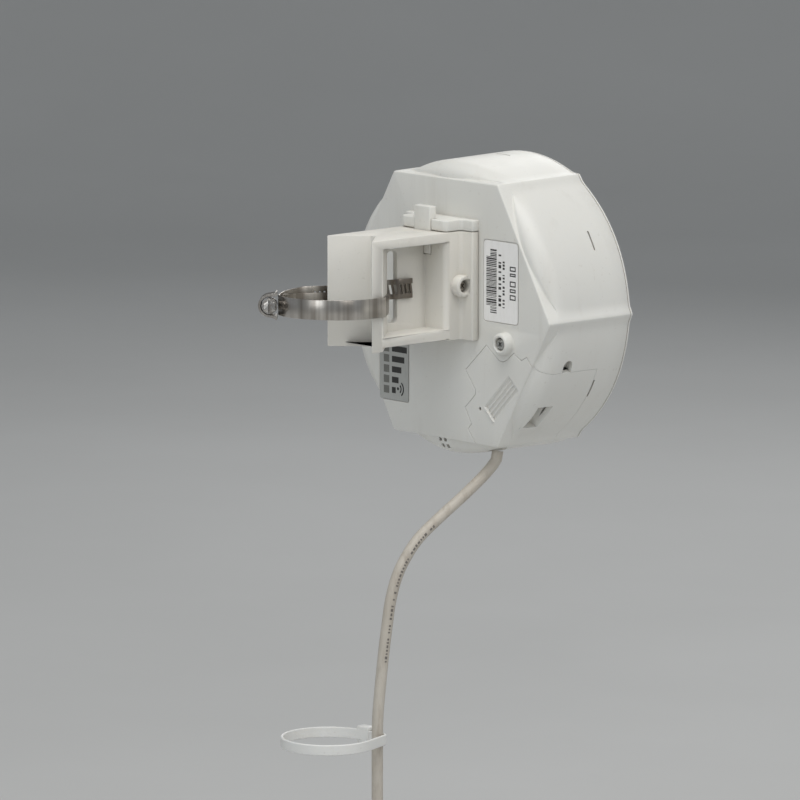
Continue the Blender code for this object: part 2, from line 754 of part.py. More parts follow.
# Clamp ----------------------------------------------------------------------------------------

def tilt(x, y, z):
    return z + BAND_RISE + BAND_TILT[0] * x + BAND_TILT[1] * y


def strip(name, path, look):
    """A flat strip on edge along a plan path of (x, y, height), BAND_W tall."""
    loops = []
    for index, (x, y, lift) in enumerate(path):
        before = Vector(path[max(index - 1, 0)][:2])
        after = Vector(path[min(index + 1, len(path) - 1)][:2])
        along = (after - before).normalized()
        side = Vector((along.y, -along.x)) * BAND_T / 2
        loop = []
        for sign, level in ((1, -1), (1, 1), (-1, 1), (-1, -1)):
            px = x + side.x * sign
            py = y + side.y * sign
            loop.append((px, py, tilt(px, py, lift + level * BAND_W / 2)))
        loops.append(loop)
    return rings(name, loops, look)


def saddle_run(side, offset, start, end, steps=4):
    """Points on the outer face of one saddle wing, offset outwards, by distance from the middle."""
    apex = SADDLE_APEX_OUT + offset * math.sqrt(1 + SADDLE_SLOPE ** 2)
    spots = [start + (end - start) * step / steps for step in range(steps + 1)]
    return [(side * spot, apex - SADDLE_SLOPE * spot) for spot in spots]


def lifted(points, start, end):
    """Give plan points a height that runs evenly from start to end."""
    last = max(len(points) - 1, 1)
    return [(x, y, start + (end - start) * index / last) for index, (x, y) in enumerate(points)]


def clamp_band():
    """One strip: from the worm housing once round the pole and saddle, back through the housing,
    over its own first turn, and out through the web's slot as a short free end."""
    near = POLE_R + 0.65
    over = near + BAND_LAP
    first = arc(0, 0, near, 214, 165, 6) + [(-15.9, 20.6)] + saddle_run(-1, 0.65, 13.5, 3.0)
    first += [(-1.3, 35.75), (0.0, 36.3), (1.3, 35.75)] + saddle_run(1, 0.65, 3.0, 13.5)
    first += [(15.9, 20.6)] + arc(0, 0, near, 15, -122, 20)
    climb = arc(0, 0, near + 0.4, -128, -128, 1)[:1]
    second = arc(0, 0, over, -134, -195, 9) + [(-16.9, 21.6)]
    wing = saddle_run(-1, 0.65 + BAND_LAP, 13.0, 3.0) + [(-1.6, 37.6)]
    end = [(0.0, 39.1), (1.4, 40.0), (2.4, 41.6), (2.7, 44.0), (2.7, 49.0)]
    path = lifted(first + climb, 0.0, 0.0) + lifted(second, 0.0, 3.0) + lifted(wing, 3.4, 6.0)
    return strip("clamp_band", path + lifted(end, 6.2, 6.8), STEEL)


def clamp_frame():
    turn = math.radians(226)
    out = Vector((math.cos(turn), math.sin(turn), 0))
    along = Vector((-math.sin(turn), math.cos(turn), 0))
    return out, along


def clamp_point(out_mm, z, along_mm):
    out, along = clamp_frame()
    spot = out * out_mm + along * along_mm
    return (spot.x, spot.y, tilt(spot.x, spot.y, z))


def clamp_housing():
    shape = [(22.5, -6.3), (23.3, -6.3), (23.3, -5.4)] + arch_points(4.9, SCREW_OUT)
    shape += [(23.3, 5.4), (23.3, 6.3), (22.5, 6.3), (22.5, 4.4)]
    shape += arch_points(3.9, SCREW_OUT)[::-1] + [(22.5, -4.4)]
    loops = [[clamp_point(out, z, along) for out, z in shape] for along in (-5.5, 5.5)]
    return rings("clamp_housing", loops, STEEL)


def arch_points(radius, centre):
    return [(centre + radius * math.sin(math.radians(turn)), -radius * math.cos(math.radians(turn)))
            for turn in range(0, 181, 20)]


def clamp_screw():
    centre = Vector(clamp_point(SCREW_OUT, 0.0, 0.0))
    tip = Vector(clamp_point(SCREW_OUT, 0.0, 1.0))
    profile = [(2.2, -7.5), (3.1, -6.8), (3.1, 6.3), (2.0, 6.3), (2.0, 6.8)]
    profile += [(3.3, 6.8), (3.6, 7.4), (3.6, 9.6), (2.7, 10.6)]
    screw = turned("clamp_screw", profile, (0, 0, 0), tip - centre, STEEL)
    screw.location = centre * MM
    along = clamp_frame()[1]
    slot = block("screw_slot", (-0.5, 9.2, -3.0), (0.5, 12.0, 3.0))
    slot.rotation_euler = (0, 0, math.atan2(-along.x, along.y))
    slot.location = centre * MM
    return cut(screw, slot)


# Cable ----------------------------------------------------------------------------------------

def smooth_curve(points, count):
    """Evenly spaced points on a Catmull-Rom curve through points."""
    spots = [Vector(point) for point in points]
    spots = [spots[0] * 2 - spots[1]] + spots + [spots[-1] * 2 - spots[-2]]
    fine = []
    for index in range(1, len(spots) - 2):
        a, b, c, d = spots[index - 1:index + 3]
        for step in range(24):
            t = step / 24
            square = (2 * a - 5 * b + 4 * c - d) * t * t
            cube = (3 * b - a - 3 * c + d) * t ** 3
            fine.append(0.5 * (2 * b + (c - a) * t + square + cube))
    fine.append(spots[-2])
    lengths = [0.0]
    for before, after in zip(fine, fine[1:]):
        lengths.append(lengths[-1] + (after - before).length)
    picked = []
    index = 0
    for step in range(count):
        want = lengths[-1] * step / (count - 1)
        while index < len(lengths) - 2 and lengths[index + 1] < want:
            index += 1
        share = (want - lengths[index]) / (lengths[index + 1] - lengths[index])
        picked.append(fine[index].lerp(fine[index + 1], share))
    return picked


def tube(name, points, look):
    curve = bpy.data.curves.new(name, "CURVE")
    curve.dimensions = "3D"
    curve.bevel_depth = CABLE_D / 2 * MM
    curve.bevel_resolution = 2
    curve.use_fill_caps = True
    line = curve.splines.new("POLY")
    line.points.add(len(points) - 1)
    for point, place in zip(line.points, points):
        point.co = (*(place * MM), 1.0)
    made = bpy.data.objects.new(name, curve)
    bpy.context.scene.collection.objects.link(made)
    curve.materials.append(material(name, *look))
    return made


def hold_frame():
    """Outwards from the pole through the held cable, and across it."""
    out = Vector((*CABLE_HOLD, 0.0)).normalized()
    return out, Vector((out.y, -out.x, 0.0))


def coil_centre():
    out, across = hold_frame()
    held = Vector((*CABLE_HOLD, 0.0))
    middle = out * (POLE_R + GAP + COIL_T / 2)
    return middle + across * (held.dot(across) - LEAD_R) + Vector((0, 0, COIL_Z))


def lead_reach():
    """How far above and below the coil's centre the straight lead's inner side leaves the ring."""
    return math.sqrt((COIL_R + COIL_W / 2) ** 2 - (LEAD_R - CABLE_D / 2) ** 2)


def data_cable():
    x, y = CABLE_HOLD
    route = list(CABLE_ROUTE) + [(x, y, -240.0), (x, y, -254.0), (x, y, COIL_Z + lead_reach() + LEAD_GAP)]
    return tube("data_cable", smooth_curve(route, CABLE_POINTS), CABLE_BEIGE)


def coil_ring(name, centre, axis, radius, wide, thick, look, sides=40):
    """A turned ring of rounded box section."""
    section = rounded(radius - wide / 2, radius + wide / 2, -thick / 2, thick / 2, 4.0, 2)
    along = Vector(axis).normalized()
    side = Vector((0, 0, 1))
    other = along.cross(side)
    loops = []
    for r, z in section:
        loop = []
        for step in range(sides):
            turn = 2 * math.pi * step / sides
            loop.append(centre + along * z + (side * math.cos(turn) + other * math.sin(turn)) * r)
        loops.append(loop)
    return hoop(name, loops, look)


def cable_coil():
    out = hold_frame()[0]
    return coil_ring("cable_coil", coil_centre(), out, COIL_R, COIL_W, COIL_T, CABLE_BEIGE)


def coil_tie():
    """A strap round the coil's bundle at its top."""
    out, across = hold_frame()
    middle = coil_centre() + Vector((0, 0, COIL_R))
    loops = []
    for grow_out, grow_up in ((0.9, 1.2), (2.0, 2.3)):
        for level in (-5.0, 5.0):
            half_out = COIL_T / 2 + grow_out
            half_up = COIL_W / 2 + grow_up
            frame = rounded(-half_out, half_out, -half_up, half_up, 4.0 + grow_out, 3)
            loops.append([middle + out * a + Vector((0, 0, 1)) * b + across * level for a, b in frame])
    return hoop("coil_tie", [loops[0], loops[1], loops[3], loops[2]], DARK)


def far_plug():
    out, across = hold_frame()
    middle = coil_centre() + across * LEAD_R + out * 1.5 * TURN_PITCH
    top = COIL_Z - lead_reach() - LEAD_GAP
    base = (middle.x, middle.y, top - PLUG_LEAD)
    lead = turned("far_plug", [(CABLE_D / 2, 0.0), (CABLE_D / 2, PLUG_LEAD)], base, (0, 0, 1), CLEAR, 12)
    wide, deep, tall = PLUG_SIZE
    body = []
    for a, b in rectangle(-wide / 2, wide / 2, -deep / 2, deep / 2):
        spot = middle + across * a + out * b
        body.append((spot.x, spot.y))
    high = top - PLUG_LEAD + 1.0
    return join(lead, prism("far_plug_body", body, high - tall, high))


def tie_outline(grow):
    """A loop round the pole and the cable held against it."""
    held = Vector(CABLE_HOLD)
    small = CABLE_D / 2 + grow
    big = POLE_R + grow
    aim = math.degrees(math.atan2(held.y, held.x))
    lean = math.degrees(math.acos((big - small) / held.length))
    round_cable = arc(held.x, held.y, small, aim - lean, aim + lean, 10)
    return round_cable + arc(0, 0, big, aim + lean, aim - lean + 360, 30)


def cable_tie():
    inner = tie_outline(GAP)
    outer = tie_outline(GAP + 1.2)
    low, high = TIE_Z - TIE_H / 2, TIE_Z + TIE_H / 2
    sides = ((inner, low), (inner, high), (outer, high), (outer, low))
    tie = hoop("cable_tie", [[(x, y, z) for x, y in line] for line, z in sides], LABEL_WHITE)
    head = block("tie_head", (-3.6, POLE_R + 0.5, TIE_Z - 4.0), (4.2, POLE_R + 5.6, TIE_Z + 4.0))
    return join(tie, head)


def build():
    clear_scene()
    rear_shell()
    port_door()
    front_cover()
    housing_seal()
    label("rating_label", RATING_AT, 1.5, LABEL_WHITE)
    label("status_label", STATUS_AT, 0.6, LABEL_GREY)
    for row in range(5):
        led_window(row)
    led_strip()
    for side in (-1, 1):
        case_screw(side)
        bracket_screw(side)
    main_board()
    for index in range(4):
        board_screw(index)
        antenna_patch(index)
        feed_spacer(index)
    for index in range(2):
        rf_feed_pin(index)
    rf_shield()
    ethernet_jack()
    inner_plug()
    inner_lead()
    cable_grommet()
    reset_switch()
    reset_button()
    antenna_reflector()
    feed_board()
    pole_bracket()
    lock_key()
    clamp_band()
    clamp_housing()
    clamp_screw()
    cable_tie()
    data_cable()
    cable_coil()
    coil_tie()
    far_plug()


build()
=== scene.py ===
"""Looks of an outdoor wireless bridge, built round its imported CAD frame.

Lengths are written in millimetres and MM turns them into metres. The frame is the CAD's: the
origin is on the pole's axis at the hose clamp, +Z up the pole, +Y from the pole to the antenna.
"""

import math
import random

import bmesh
import bpy
from mathutils import Matrix, Vector


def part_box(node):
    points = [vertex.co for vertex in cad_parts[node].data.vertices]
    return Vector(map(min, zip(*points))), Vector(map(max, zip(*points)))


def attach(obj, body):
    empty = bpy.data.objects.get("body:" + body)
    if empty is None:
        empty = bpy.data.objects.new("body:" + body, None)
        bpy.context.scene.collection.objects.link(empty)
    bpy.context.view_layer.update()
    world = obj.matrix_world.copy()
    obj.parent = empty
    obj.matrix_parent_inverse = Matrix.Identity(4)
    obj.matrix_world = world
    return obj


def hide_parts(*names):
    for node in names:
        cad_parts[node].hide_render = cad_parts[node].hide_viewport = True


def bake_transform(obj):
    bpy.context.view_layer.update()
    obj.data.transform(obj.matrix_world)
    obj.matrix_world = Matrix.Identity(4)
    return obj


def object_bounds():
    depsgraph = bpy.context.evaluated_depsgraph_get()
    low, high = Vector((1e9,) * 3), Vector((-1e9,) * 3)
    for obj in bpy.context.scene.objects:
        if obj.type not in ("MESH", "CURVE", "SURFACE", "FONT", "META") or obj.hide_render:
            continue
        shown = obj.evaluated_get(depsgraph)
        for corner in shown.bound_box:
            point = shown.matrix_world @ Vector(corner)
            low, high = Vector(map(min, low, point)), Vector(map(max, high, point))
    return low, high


MM = 0.001
UP = Vector((0, 0, 1))
DEEPER = (0, 1, 0)
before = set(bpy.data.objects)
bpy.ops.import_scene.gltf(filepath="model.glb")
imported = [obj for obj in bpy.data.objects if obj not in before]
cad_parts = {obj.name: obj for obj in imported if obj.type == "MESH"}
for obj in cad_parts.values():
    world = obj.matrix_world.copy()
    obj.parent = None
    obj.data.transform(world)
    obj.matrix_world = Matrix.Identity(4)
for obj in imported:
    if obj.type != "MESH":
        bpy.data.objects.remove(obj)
CAD_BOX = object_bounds()
PARTS = bpy.context.scene.collection

# Case
CASE_Z = -6.5
BACK_Y = 71.7
RIM_Y = 121.7
RIM_STEP_Y = 119.5
FRONT_Y = 129.0
BACK_R = 69.2
RIM_R = 70.1
WALL = 2.2
COLLAR_T = 3.6
GAP = 0.3
BULGE = 7.1
DOOR_GAP = 0.1
SCREW_OUT = 25.6
BULGE_HALF = 28.0
SHOULDER = 8.5
SHOULDER_START = 0.75
SHOULDER_DROP = 5.85
CORNER_R = 1.2
EDGE_R = 0.7
HALF_SHARES = (0.15, 0.3, 0.45, 0.6, 0.72, 0.82, 0.9, 0.96, 1.0, 1.04, 1.1, 1.17)
SHARES = tuple(-s for s in HALF_SHARES[::-1]) + (0.0,) + HALF_SHARES
FACETS = (30, 90, 150, 210, 270, -30)
CROWN = ((1.0, 0.16), (2.0, 0.25), (3.0, 0.32), (5.0, 0.43), (8.0, 0.56), (12.0, 0.67), (18.0, 0.78),
         (25.0, 0.87), (32.0, 0.93), (40.0, 0.975), (48.0, 1.0))

# Door
DOOR_SEAM = ((58.8, -21.7), (54.0, -16.3), (50.5, -18.2), (45.6, -15.4), (43.4, -16.9),
             (41.3, -19.0), (38.6, -20.1), (36.0, -19.8), (33.4, -18.0), (27.6, -13.6),
             (13.8, -26.4), (20.4, -35.2), (20.0, -37.5), (13.5, -43.7),
             (17.7, -50.9), (15.5, -53.5), (20.8, -60.1))
DOOR_FRONT = 107.0
GRIP_AT = (37.6, -37.1)
GRIP_LONG = 21.5
GRIP_PITCH = 2.1
PIN_HOLE = (23.3, -43.4)
EXIT_AT = (20.6, 85.5)
GROMMET_R = 4.2
ARCH_X = (9.6, 13.6)
ARCH_Y = 88.1
ARCH_R = 2.7
SCOOP_ACROSS = (-22.0, -8.0)
SCOOP_Y = 84.0
LATCH_HALF = 4.8

# Back features
BOSS_AT = (40.6, -11.5)
BOSS_OUT = 4.5
BOSS_R = 5.0
CASE_FIXING = ((1.9, 0.75), (2.3, 0.95), (2.55, 1.35), (2.6, 1.8), (2.6, 3.1), (1.6, 3.1), (1.6, 7.8),
               (0.7, 9.2))
VENT_AT = (-4.8, 59.6)
VENT_STEP = (3.4, 3.0)
VENT_LEAN = 0.8
VENT_SIZE = 1.8
RATING_AT = (25.9, 48.2, -2.4, 34.4)
STATUS_AT = (-43.9, -24.5, -46.0, -15.4)
LED_X = -39.4
LED_TOP = -22.2
LED_PITCH = 4.8
LED_SIZE = (3.6, 3.3)

# Rail and bracket
RAIL_HEAD = (7.0, 64.0, 67.5)
RAIL_NECK = 3.5
RAIL_LOW = -14.0
CAP_LOW = 31.3
CAP_TOP = 36.3
KEY_HALF = 5.3
KEY_Y = (57.4, 61.4)
KEY_Z = (20.4, 42.0)
BRACKET_TOP = 31.0
BRACKET_LOW = -18.5
PLATE_LOW = -19.5
FLANGE_T = 4.2
SADDLE_HALF = 15.0
SADDLE_APEX = 29.5
SADDLE_OUT = 36.4
SADDLE_FLAT = 1.6
SADDLE_SLOPE = 1.084
KNUCKLE_Y = 58.0
KNUCKLE_HALF = 15.2
BASE_Y = 67.7
BASE_HALF = 22.6
WEB_T = 3.0
WEB_SLOT = (34.7, 41.0, -9.5, 23.3)
KNUCKLE_BOSS = (66.4, 6.2)
KNUCKLE_BOSS_X = 19.6
BRACKET_FIXING = ((0.6, 0.4), (1.5, 1.6), (1.5, 3.7), (2.5, 3.7), (2.5, 4.4), (2.35, 4.8), (1.9, 5.2),
                  (1.5, 5.3))

# Clamp
POLE_R = 20.0
BAND_W = 9.0
BAND_T = 0.7
BAND_LAP = 1.15
BAND_TILT = (0.03, -0.06)
BAND_RISE = 1.6
SLOT_PITCH = 2.35
SLOT_COUNT = 21
CLAMP_TURN = 226
WORM_STEPS = 69
WORM_SIDES = 36

# Cable
CABLE_D = 5.2
CABLE_ROUTE = ((20.6, 85.5, -71.0), (20.6, 84.6, -75.0), (20.0, 78.4, -80.9), (19.0, 66.1, -89.4),
               (17.8, 52.5, -98.0), (16.6, 40.3, -106.6), (15.6, 33.2, -114.9),
               (14.8, 28.7, -122.9), (14.1, 25.6, -133.1), (13.5, 23.8, -145.0),
               (12.9, 22.0, -159.6), (12.5, 20.3, -175.2), (12.2, 19.3, -187.0),
               (12.1, 19.1, -198.0), (12.1, 19.1, -212.0), (12.1, 19.1, -226.0))
CABLE_HOLD = (12.1, 19.1)
TIE_Z = -197.0
TIE_H = 4.8
COIL_R = 31.0
COIL_W = 23.6
COIL_T = 21.5
COIL_Z = -296.0
COLUMNS = 4
COLUMN_TURNS = 3.5
TURN_PITCH = 5.2
POINTS_PER_TURN = 40
LEAD_R = COIL_R + COLUMN_TURNS / 2 * TURN_PITCH
PLUG_SIZE = (11.7, 8.0, 21.5)
PLUG_LEAD = 9.0
CONTACT_PITCH = 1.02
LEAD_GAP = 0.6

# Inside
BOARD_FRONT = 79.1
BOARD_HOLES = ((34.0, 25.0), (-34.0, 25.0), (-30.0, -34.0), (4.0, -44.0))
CHIPS = ((-40.0, -8.0, 9.0, 9.0, 1.2), (13.0, 34.0, 12.0, 8.0, 1.1), (-22.0, -26.0, 7.0, 10.0, 1.3),
         (-14.0, 33.0, 8.0, 5.0, 0.9), (38.0, 2.0, 6.0, 6.0, 1.0))
CANS = ((-6.0, -22.0), (36.0, 12.0), (-44.0, 10.0))
SMALL_PARTS = 26

# Studio: the camera and lights are in metres, the floor in millimetres
VIEW_ANGLE = 6.003
CAMERA_AT = (2.5174, -2.2568, 0.5)
CAMERA_AIM = (0.02665, 0.01971, -0.03982)
VIEW_LINE = (-0.738, 0.675, 0.0)
FLOOR_DROP = 60.0
FLOOR_NEAR = -3500.0
FLOOR_HALF = 4500.0
SWEEP_START = 3200.0
SWEEP_R = 1500.0
SWEEP_UP = 4500.0
SKY = (0.9, 0.95, 1.0, 1.0)
SKY_POWER = 0.3
LIGHTS = (("top_soft", (0.5, -0.3, 1.7), (0.0, 0.06, 0.0), 1.5, 23.5, (1.0, 0.985, 0.96)),
          ("camera_fill", (0.9, -2.3, 0.7), (0.0, 0.06, -0.05), 1.2, 11.0, (0.95, 0.98, 1.0)),
          ("side_fill", (2.2, 0.5, 1.2), (0.0, 0.06, -0.05), 1.0, 8.0, (1.0, 0.97, 0.94)),
          ("low_bounce", (1.3, -0.2, -1.2), (0.0, 0.06, -0.05), 0.9, 4.5, (1.0, 0.84, 0.7)),
          ("rim_soft", (-1.2, 1.9, 1.0), (0.0, 0.06, 0.0), 1.0, 9.0, (1.0, 1.0, 1.0)))


# Mesh helpers ---------------------------------------------------------------------------------

def make(name, points, faces, smooth=30):
    """One mesh object from points in millimetres, with its normals turned outwards."""
    mesh = bpy.data.meshes.new(name)
    mesh.from_pydata([Vector(p) * MM for p in points], [], faces)
    work = bmesh.new()
    work.from_mesh(mesh)
    bmesh.ops.recalc_face_normals(work, faces=work.faces)
    work.to_mesh(mesh)
    work.free()
    shade(mesh, smooth)
    made = bpy.data.objects.new(name, mesh)
    PARTS.objects.link(made)
    return made


def shade(mesh, angle):
    mesh.shade_smooth()
    mesh.set_sharp_from_angle(angle=math.radians(angle))


def rings(name, loops, smooth=30, closed=False):
    """A solid through rings of equal length: capped at both ends, or closed back on itself."""
    count = len(loops[0])
    points = [p for loop in loops for p in loop]
    faces = [] if closed else [list(range(count)), list(range(len(points) - count, len(points)))]
    rows = len(loops) if closed else len(loops) - 1
    for row in range(rows):
        low = row * count
        high = (row + 1) % len(loops) * count
        for step in range(count):
            after = (step + 1) % count
            faces.append([low + step, low + after, high + after, high + step])
    return make(name, points, faces, smooth)


def placed(axis, a, b, level):
    """A point from two outline coordinates and a level along the axis."""
    if axis == "z":
        return (a, b, level)
    if axis == "y":
        return (a, level, b)
    return (level, a, b)


def prism(name, outline, low, high, axis="z"):
    return rings(name, [[placed(axis, a, b, level) for a, b in outline] for level in (low, high)])


def stack(name, outline, steps, axis="z"):
    """A prism whose outline is moved inwards by a given amount at each level."""
    loops = []
    for level, inward in steps:
        loops.append([placed(axis, a, b, level) for a, b in inset(outline, inward)])
    return rings(name, loops)


def soft_prism(name, outline, low, high, edge, axis="z"):
    """A prism with rounded rims at both ends."""
    steps = []
    for turn in (0, 30, 60, 90):
        angle = math.radians(turn)
        steps.append((low + edge * (1 - math.sin(angle)), edge * (1 - math.cos(angle))))
    steps = steps[::-1] + [(low + high - level, inward) for level, inward in steps]
    return stack(name, outline, steps, axis)


def rectangle(x0, x1, y0, y1):
    return [(x0, y0), (x1, y0), (x1, y1), (x0, y1)]


def rounded(x0, x1, y0, y1, radius, steps=5):
    corners = ((x1 - radius, y1 - radius, 0), (x0 + radius, y1 - radius, 90),
               (x0 + radius, y0 + radius, 180), (x1 - radius, y0 + radius, 270))
    return [p for x, y, start in corners for p in arc(x, y, radius, start, start + 90, steps)]


def arc(x, y, radius, start, end, steps):
    turns = [math.radians(start + (end - start) * step / steps) for step in range(steps + 1)]
    return [(x + radius * math.cos(turn), y + radius * math.sin(turn)) for turn in turns]


def circle(x, y, radius, sides=32):
    return arc(x, y, radius, 0, 360 * (sides - 1) / sides, sides - 1)


def inset(outline, amount):
    """Move each side of an outline inwards, whichever way round it runs."""
    if not amount:
        return list(outline)
    area = sum(a[0] * b[1] - b[0] * a[1] for a, b in zip(outline, outline[1:] + outline[:1]))
    amount = amount if area > 0 else -amount
    moved = []
    for index, point in enumerate(outline):
        here = Vector(point)
        first = (here - Vector(outline[index - 1])).normalized()
        second = (Vector(outline[(index + 1) % len(outline)]) - here).normalized()
        first_in = Vector((-first.y, first.x))
        middle = (first_in + Vector((-second.y, second.x))).normalized()
        moved.append(tuple(here + middle * (amount / max(middle.dot(first_in), 0.3))))
    return moved


def wheel(centre, side, other, radius, sides):
    """A ring of points round centre, in the plane of side and other."""
    turns = [2 * math.pi * step / sides for step in range(sides)]
    return [centre + (side * math.cos(t) + other * math.sin(t)) * radius for t in turns]


def turned(name, profile, centre, axis, sides=48):
    """Rings of (radius, along) about an axis through centre."""
    along = Vector(axis).normalized()
    side = along.orthogonal().normalized()
    other = along.cross(side)
    return rings(name, [wheel(Vector(centre) + along * length, side, other, radius, sides)
                        for radius, length in profile])


def fillet(radius, along, edge):
    """Profile points that round the rim of a turned piece at (radius, along)."""
    return [(radius - edge * (1 - math.cos(math.radians(t))), along - edge
             + edge * math.sin(math.radians(t))) for t in (0, 30, 60, 90)]


def block(name, low, high):
    return prism(name, rectangle(low[0], high[0], low[1], high[1]), low[2], high[2])


def soft_block(name, low, high, edge, segments=3):
    """A box with all its edges rounded."""
    made = block(name, low, high)
    work = bmesh.new()
    work.from_mesh(made.data)
    bmesh.ops.bevel(work, geom=work.edges[:], offset=edge * MM, segments=segments, profile=0.5,
                    affect="EDGES", clamp_overlap=True)
    work.to_mesh(made.data)
    work.free()
    shade(made.data, 40)
    return made


def merged(name, pieces):
    """Several meshes as one object; the pieces themselves are removed."""
    work = bmesh.new()
    for piece in pieces:
        start = len(work.verts)
        work.from_mesh(piece.data)
        work.verts.ensure_lookup_table()
        if piece.matrix_world != Matrix.Identity(4):
            bmesh.ops.transform(work, matrix=piece.matrix_world, verts=work.verts[start:])
    mesh = bpy.data.meshes.new(name)
    work.to_mesh(mesh)
    work.free()
    for piece in pieces:
        bpy.data.objects.remove(piece)
    made = bpy.data.objects.new(name, mesh)
    PARTS.objects.link(made)
    return made


def combine(target, operation, tools):
    """Boolean the tools into target, keep the result as its mesh, and remove the tools."""
    tool = tools[0] if len(tools) == 1 else merged(target.name + "_tool", tools)
    step = target.modifiers.new("Cut", "BOOLEAN")
    step.operation = operation
    step.object = tool
    step.solver = "EXACT"
    settle(target)
    bpy.data.objects.remove(tool)
    shade(target.data, 30)
    return target


def settle(piece):
    """Replace the piece's mesh by what its modifiers give."""
    graph = bpy.context.evaluated_depsgraph_get()
    graph.update()
    mesh = bpy.data.meshes.new_from_object(piece.evaluated_get(graph))
    piece.modifiers.clear()
    piece.data = mesh


def cut(target, *tools):
    return combine(target, "DIFFERENCE", list(tools))


def join(target, *tools):
    return combine(target, "UNION", list(tools))


def soften(piece, width):
    """Round the piece's sharp edges, after its coplanar faces are joined."""
    work = bmesh.new()
    work.from_mesh(piece.data)
    bmesh.ops.remove_doubles(work, verts=work.verts, dist=0.02 * MM)
    bmesh.ops.dissolve_limit(work, angle_limit=math.radians(1), verts=work.verts, edges=work.edges)
    work.to_mesh(piece.data)
    work.free()
    step = piece.modifiers.new("Round", "BEVEL")
    step.width = width * MM
    step.segments = 2
    step.limit_method = "ANGLE"
    step.angle_limit = math.radians(50)
    step.use_clamp_overlap = False
    settle(piece)
    shade(piece.data, 40)
    return piece


def sweep(name, line, radius, sides=14):
    """A round tube along a line of points in millimetres, with flat ends."""
    loops = []
    side = (line[1] - line[0]).orthogonal().normalized()
    for index, point in enumerate(line):
        along = (line[min(index + 1, len(line) - 1)] - line[max(index - 1, 0)]).normalized()
        side = (side - along * side.dot(along)).normalized()
        loops.append(wheel(point, side, along.cross(side), radius, sides))
    return rings(name, loops, 60)


# Node helpers ---------------------------------------------------------------------------------

class Look:
    """A Principled material and short calls that add nodes to it."""

    def __init__(self, name, roughness=0.5, metallic=0.0, specular=0.5):
        self.made = bpy.data.materials.new(name)
        self.made.use_nodes = True
        self.tree = self.made.node_tree
        self.shader = self.tree.nodes["Principled BSDF"]
        self.shader.inputs["Roughness"].default_value = roughness
        self.shader.inputs["Metallic"].default_value = metallic
        self.shader.inputs["Specular IOR Level"].default_value = specular
        self.place = self.node("ShaderNodeTexCoord").outputs["Object"]

    def node(self, kind, **settings):
        made = self.tree.nodes.new(kind)
        for key, value in settings.items():
            setattr(made, key, value)
        return made

    def link(self, source, target):
        self.tree.links.new(source, target)

    def stretched(self, scale, turn=(0, 0, 0)):
        made = self.node("ShaderNodeMapping")
        made.inputs["Scale"].default_value = scale
        made.inputs["Rotation"].default_value = [math.radians(t) for t in turn]
        self.link(self.place, made.inputs["Vector"])
        return made.outputs["Vector"]

    def noise(self, scale, detail=3.0, rough=0.55, place=None):
        made = self.node("ShaderNodeTexNoise")
        made.inputs["Scale"].default_value = scale
        made.inputs["Detail"].default_value = detail
        made.inputs["Roughness"].default_value = rough
        self.link(place or self.place, made.inputs["Vector"])
        return made.outputs["Fac"]

    def voronoi(self, scale, feature="F1", place=None):
        made = self.node("ShaderNodeTexVoronoi", feature=feature)
        made.inputs["Scale"].default_value = scale
        self.link(place or self.place, made.inputs["Vector"])
        return made.outputs["Distance"]

    def span(self, source, low, high, to_low=0.0, to_high=1.0):
        made = self.node("ShaderNodeMapRange")
        for name, value in (("From Min", low), ("From Max", high), ("To Min", to_low),
                            ("To Max", to_high)):
            made.inputs[name].default_value = value
        self.link(source, made.inputs["Value"])
        return made.outputs["Result"]

    def maths(self, operation, first, second):
        made = self.node("ShaderNodeMath", operation=operation)
        for index, value in enumerate((first, second)):
            if isinstance(value, (int, float)):
                made.inputs[index].default_value = value
            else:
                self.link(value, made.inputs[index])
        return made.outputs["Value"]

    def mix(self, share, first, second, blend="MIX"):
        made = self.node("ShaderNodeMix", data_type="RGBA", blend_type=blend)
        for socket, value in ((made.inputs[0], share), (made.inputs[6], first),
                              (made.inputs[7], second)):
            if isinstance(value, tuple):
                socket.default_value = (*value, 1.0)
            elif isinstance(value, (int, float)):
                socket.default_value = value
            else:
                self.link(value, socket)
        return made.outputs[2]

    def edges(self, radius):
        """1 near the piece's edges and 0 on its flats."""
        soft = self.node("ShaderNodeBevel", samples=4)
        soft.inputs["Radius"].default_value = radius * MM
        flat = self.node("ShaderNodeNewGeometry")
        product = self.node("ShaderNodeVectorMath", operation="DOT_PRODUCT")
        self.link(soft.outputs["Normal"], product.inputs[0])
        self.link(flat.outputs["Normal"], product.inputs[1])
        return self.span(product.outputs["Value"], 0.995, 0.8)

    def crevice_shade(self, distance):
        """1 in corners and grooves and 0 in the open: an ambient occlusion mask, used to paint shade into
        colours.
        """
        made = self.node("ShaderNodeAmbientOcclusion", samples=4)
        made.inputs["Distance"].default_value = distance * MM
        return self.span(made.outputs["AO"], 0.85, 0.25)

    def depth(self):
        """The place along +Y, in metres."""
        split = self.node("ShaderNodeSeparateXYZ")
        self.link(self.place, split.inputs[0])
        return split.outputs["Y"]

    def colour(self, source):
        if isinstance(source, tuple):
            self.shader.inputs["Base Color"].default_value = (*source, 1.0)
        else:
            self.link(source, self.shader.inputs["Base Color"])

    def rough(self, source):
        self.link(source, self.shader.inputs["Roughness"])

    def bump(self, steps, rounding=0.0):
        """Heights as (source, millimetres) pairs, over a shading round of the edges."""
        normal = None
        if rounding:
            soft = self.node("ShaderNodeBevel", samples=4)
            soft.inputs["Radius"].default_value = rounding * MM
            normal = soft.outputs["Normal"]
        for source, height in steps:
            made = self.node("ShaderNodeBump")
            made.inputs["Strength"].default_value = 1.0
            made.inputs["Distance"].default_value = height * MM
            self.link(source, made.inputs["Height"])
            if normal:
                self.link(normal, made.inputs["Normal"])
            normal = made.outputs["Normal"]
        self.link(normal, self.shader.inputs["Normal"])


